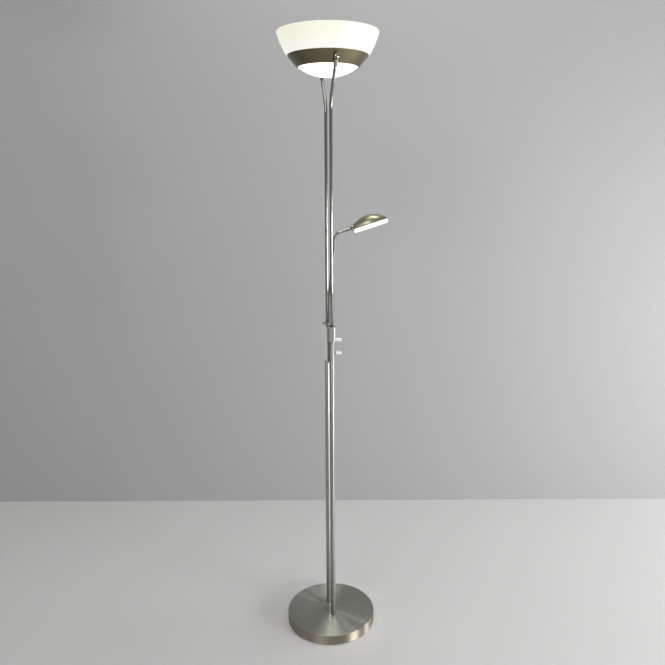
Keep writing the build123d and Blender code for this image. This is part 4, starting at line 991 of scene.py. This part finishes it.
def lensMesh():
    # the lit tray, with a rolled lower edge and a slightly crowned face
    depth, edge, turns = lensLook["depth"], lensLook["edge"], lensLook["edgeSteps"]
    middle = Vector((lensLook["middle"], 0))
    levels = [(0.0, -0.1)]
    for step in range(turns + 1):
        turnBy = math.pi / 2 * step / turns
        levels.append((edge * (1 - math.cos(turnBy)), edge - depth - edge * math.sin(turnBy)))
    levels += [(edge + inward, -depth - bulge) for inward, bulge in lensLook["crown"]]
    mesh = bmesh.new()
    rings = []
    for inward, z in levels:
        ring = []
        for x, y in lensOutline():
            away = Vector((x, y)) - middle
            spot = Vector((x, y)) - away.normalized() * min(inward, away.length * lensLook["most"])
            ring.append(mesh.verts.new((spot.x * mm, spot.y * mm, z * mm)))
        rings.append(ring)
    count = len(rings[0])
    for first, second in zip(rings, rings[1:]):
        for step in range(count):
            after = (step + 1) % count
            mesh.faces.new((first[step], first[after], second[after], second[step]))
    centre = mesh.verts.new((middle.x * mm, 0, (-depth - lensLook["crownTop"]) * mm))
    for step in range(count):
        mesh.faces.new((rings[-1][step], rings[-1][(step + 1) % count], centre))
    mesh.faces.new(rings[0])
    bmesh.ops.remove_doubles(mesh, verts=mesh.verts, dist=1e-6)
    return finishedMesh("headLens", mesh, headMatrix)


collarLook = {"back": 3.6, "bore": 4.9, "lead": 5.6, "foot": 6.9, "radius": 7.7, "shoulder": 5.6, "tail": 7.2,
              "tailFrom": 6.0, "length": 8.0}


def makeHeadCollar():
    bore, radius, tail, length = (collarLook[key] for key in ("bore", "radius", "tail", "length"))
    form = rounded([(bore, 0.6), (collarLook["lead"], 0), (collarLook["foot"], 0), (radius, 1.2),
                    (radius, collarLook["shoulder"]), (tail, collarLook["tailFrom"]), (tail, length),
                    (bore, length)], [0.3, 0.3, 0.5, 0.6, 0.4, 0.2, 0, 0])
    place = alongAxis(collarCentre - headX * collarLook["back"], headX)
    turned("headCollar", form, castNickel, "head", axis=place, segments=64, stands=("head_collar",),
           slotName="satin_nickel")


headShell = toObject("headShellPiece", headShellMesh(), headNickel, "head", "satin_nickel", ("head_shell",))
sharpen(headShell, 50)
toObject("headLensPiece", lensMesh(), lensGlow, "head", "opal_plastic", ("head_lens",))
makeHeadCollar()
print("reading head made")

# finishes of the CAD nodes
nodeFinishes = {
    castNickel: ("housing_knob_side", "housing_plain_side"),
    zincSteel: ("base_plate", "plate_screws", "tube_studs", "spacer_sleeves", "stud_washers", "stud_nuts",
                "housing_screws", "dimmer_nut_main", "dimmer_nut_reading", "dimmer_shaft_main",
                "dimmer_shaft_reading", "dish_retainer", "cross_bar", "carrier_screws"),
    castIron: ("base_weight",),
    baseFelt: ("base_felt",),
    blackPlastic: ("led_driver", "terminal_block", "dimmer_main", "dimmer_reading"),
    greenBoard: ("control_board",),
    whiteBoard: ("led_board_up", "led_board_down", "head_led_board"),
    ledGlow: ("leds_up", "leds_down", "head_leds"),
    clearSilicone: ("glass_gasket",),
    whiteNylon: ("pivot_washers",),
    rawAluminium: ("led_carrier", "head_tray"),
    spunNickel: ("base_cover",),
    tubeNickel: ("lower_tube_front", "lower_tube_back"),
    rodNickelPaintedDark: ("upper_rod_front", "upper_rod_back"),
}
for material, names in nodeFinishes.items():
    for name in names:
        dress(name, material)
print("node finishes set")

# floor, backdrop, lights and camera
stageLook = {"floor": (0.64, 0.64, 0.64, 1), "wall": (0.38, 0.38, 0.385, 1), "cloudShade": 0.96,
             "floorHalf": 8, "wallBack": 0.82, "wallTurn": -12.5, "wallSize": 9,
             "air": (1.0, 0.985, 0.96, 1), "airStrength": 0.39}


def makeStageMaterial(name, colour):
    # plain from the front; from behind it lets the view through
    material, tree, shader = newMaterial(name)
    cloud = node(tree, "ShaderNodeTexNoise", values={"Scale": 1.5, "Detail": 2.0})
    tree.links.new(objectVector(tree), cloud.inputs["Vector"])
    darker = tuple(c * stageLook["cloudShade"] for c in colour[:3]) + (1,)
    tree.links.new(mixColour(tree, cloud.outputs[0], darker, colour), shader.inputs["Base Color"])
    shader.inputs["Roughness"].default_value = 0.6
    output = shader.outputs[0].links[0].to_node
    sides = tree.nodes.new("ShaderNodeMixShader")
    tree.links.new(tree.nodes.new("ShaderNodeNewGeometry").outputs["Backfacing"], sides.inputs[0])
    tree.links.new(shader.outputs[0], sides.inputs[1])
    tree.links.new(tree.nodes.new("ShaderNodeBsdfTransparent").outputs[0], sides.inputs[2])
    tree.links.new(sides.outputs[0], output.inputs[0])
    return material


def stagePlane(name, corners, material):
    data = bpy.data.meshes.new(name)
    data.from_pydata([tuple(corner) for corner in corners], [], [(0, 1, 2, 3)])
    data.materials.append(material)
    piece = bpy.data.objects.new(name, data)
    bpy.context.scene.collection.objects.link(piece)


floorMaterial = makeStageMaterial("paleFloor", stageLook["floor"])
wallMaterial = makeStageMaterial("greyWall", stageLook["wall"])
half = stageLook["floorHalf"]
stagePlane("floor", [(-half, -half, 0), (half, -half, 0), (half, half, 0), (-half, half, 0)], floorMaterial)
wallTurn = math.radians(stageLook["wallTurn"])
along = Vector((math.cos(wallTurn), math.sin(wallTurn), 0))
wallFoot = Vector((-along.y, along.x, 0)) * stageLook["wallBack"]
left, right = wallFoot - along * stageLook["wallSize"], wallFoot + along * stageLook["wallSize"]
wallRise = Vector((0, 0, stageLook["wallSize"]))
stagePlane("wall", [left, right, right + wallRise, left + wallRise], wallMaterial)

world = bpy.data.worlds.new("studioAir")
bpy.context.scene.world = world
world.use_nodes = True
air = world.node_tree.nodes["Background"]
air.inputs[0].default_value = stageLook["air"]
air.inputs[1].default_value = stageLook["airStrength"]

# places and sizes in m, powers in W; the two low boxes on the right give the light bands on the base's rim
# and the bright lines down the tubes
lightLook = {
    "frontRightBox": {"place": (2.47, -2.47, 0.80), "target": (0, 0, 0.5), "size": (1.18, 0.72), "power": 86},
    "rightBox": {"place": (3.4, -0.37, 0.80), "target": (0, 0, 0.5), "size": (0.46, 0.9), "power": 40},
    "keyLight": {"place": (-2.2, -2.6, 3.2), "target": (0, 0, 0.9), "size": (1.6, 1.6), "power": 36},
    "topLight": {"place": (0.3, 0.35, 3.2), "target": (0, 0, 0), "size": (1.0, 0.5), "power": 14},
    "underDish": {"place": (0, 0, 1.676), "target": (0, 0, 0), "size": (0.10, 0.10), "power": 0.045,
                  "colour": (1, 0.97, 0.88), "spread": 14},
    "backLeft": {"place": (-0.24, 0.76, 0.75), "target": (0, 0, 0.93), "size": (0.24, 0.6), "power": 0.07,
                 "spread": 70},
}


def softBox(name, place, target, size, power, colour=(1, 1, 1), spread=180):
    light = bpy.data.lights.new(name, "AREA")
    light.shape = "RECTANGLE"
    light.spread = math.radians(spread)
    light.size, light.size_y = size
    light.energy = power
    light.color = colour
    piece = bpy.data.objects.new(name, light)
    bpy.context.scene.collection.objects.link(piece)
    piece.location = place
    piece.rotation_euler = (Vector(target) - Vector(place)).to_track_quat("-Z", "Y").to_euler()
    piece.visible_camera = False


for name, look in lightLook.items():
    softBox(name, **look)

# fitted to the outlines of the base, the column and the bowl; lengths in m, angles in degrees
cameraLook = {"sensor": 36, "lens": 35.61, "near": 0.05, "far": 50, "place": (-0.40658, -1.87638, 1.40034),
              "heading": -12.5, "pitch": 77.231, "roll": -0.254}
cameraData = bpy.data.cameras.new("photoCamera")
cameraData.sensor_width = cameraLook["sensor"]
cameraData.lens = cameraLook["lens"]
cameraData.clip_start, cameraData.clip_end = cameraLook["near"], cameraLook["far"]
camera = bpy.data.objects.new("photoCamera", cameraData)
bpy.context.scene.collection.objects.link(camera)
cameraPlace = Matrix.Translation(cameraLook["place"])
for axis, turn in (("Z", "heading"), ("X", "pitch"), ("Z", "roll")):
    cameraPlace = cameraPlace @ Matrix.Rotation(math.radians(cameraLook[turn]), 4, axis)
camera.matrix_world = cameraPlace
bpy.context.scene.camera = camera
bpy.context.scene.view_settings.view_transform = "Standard"
print("stage, lights and camera set")
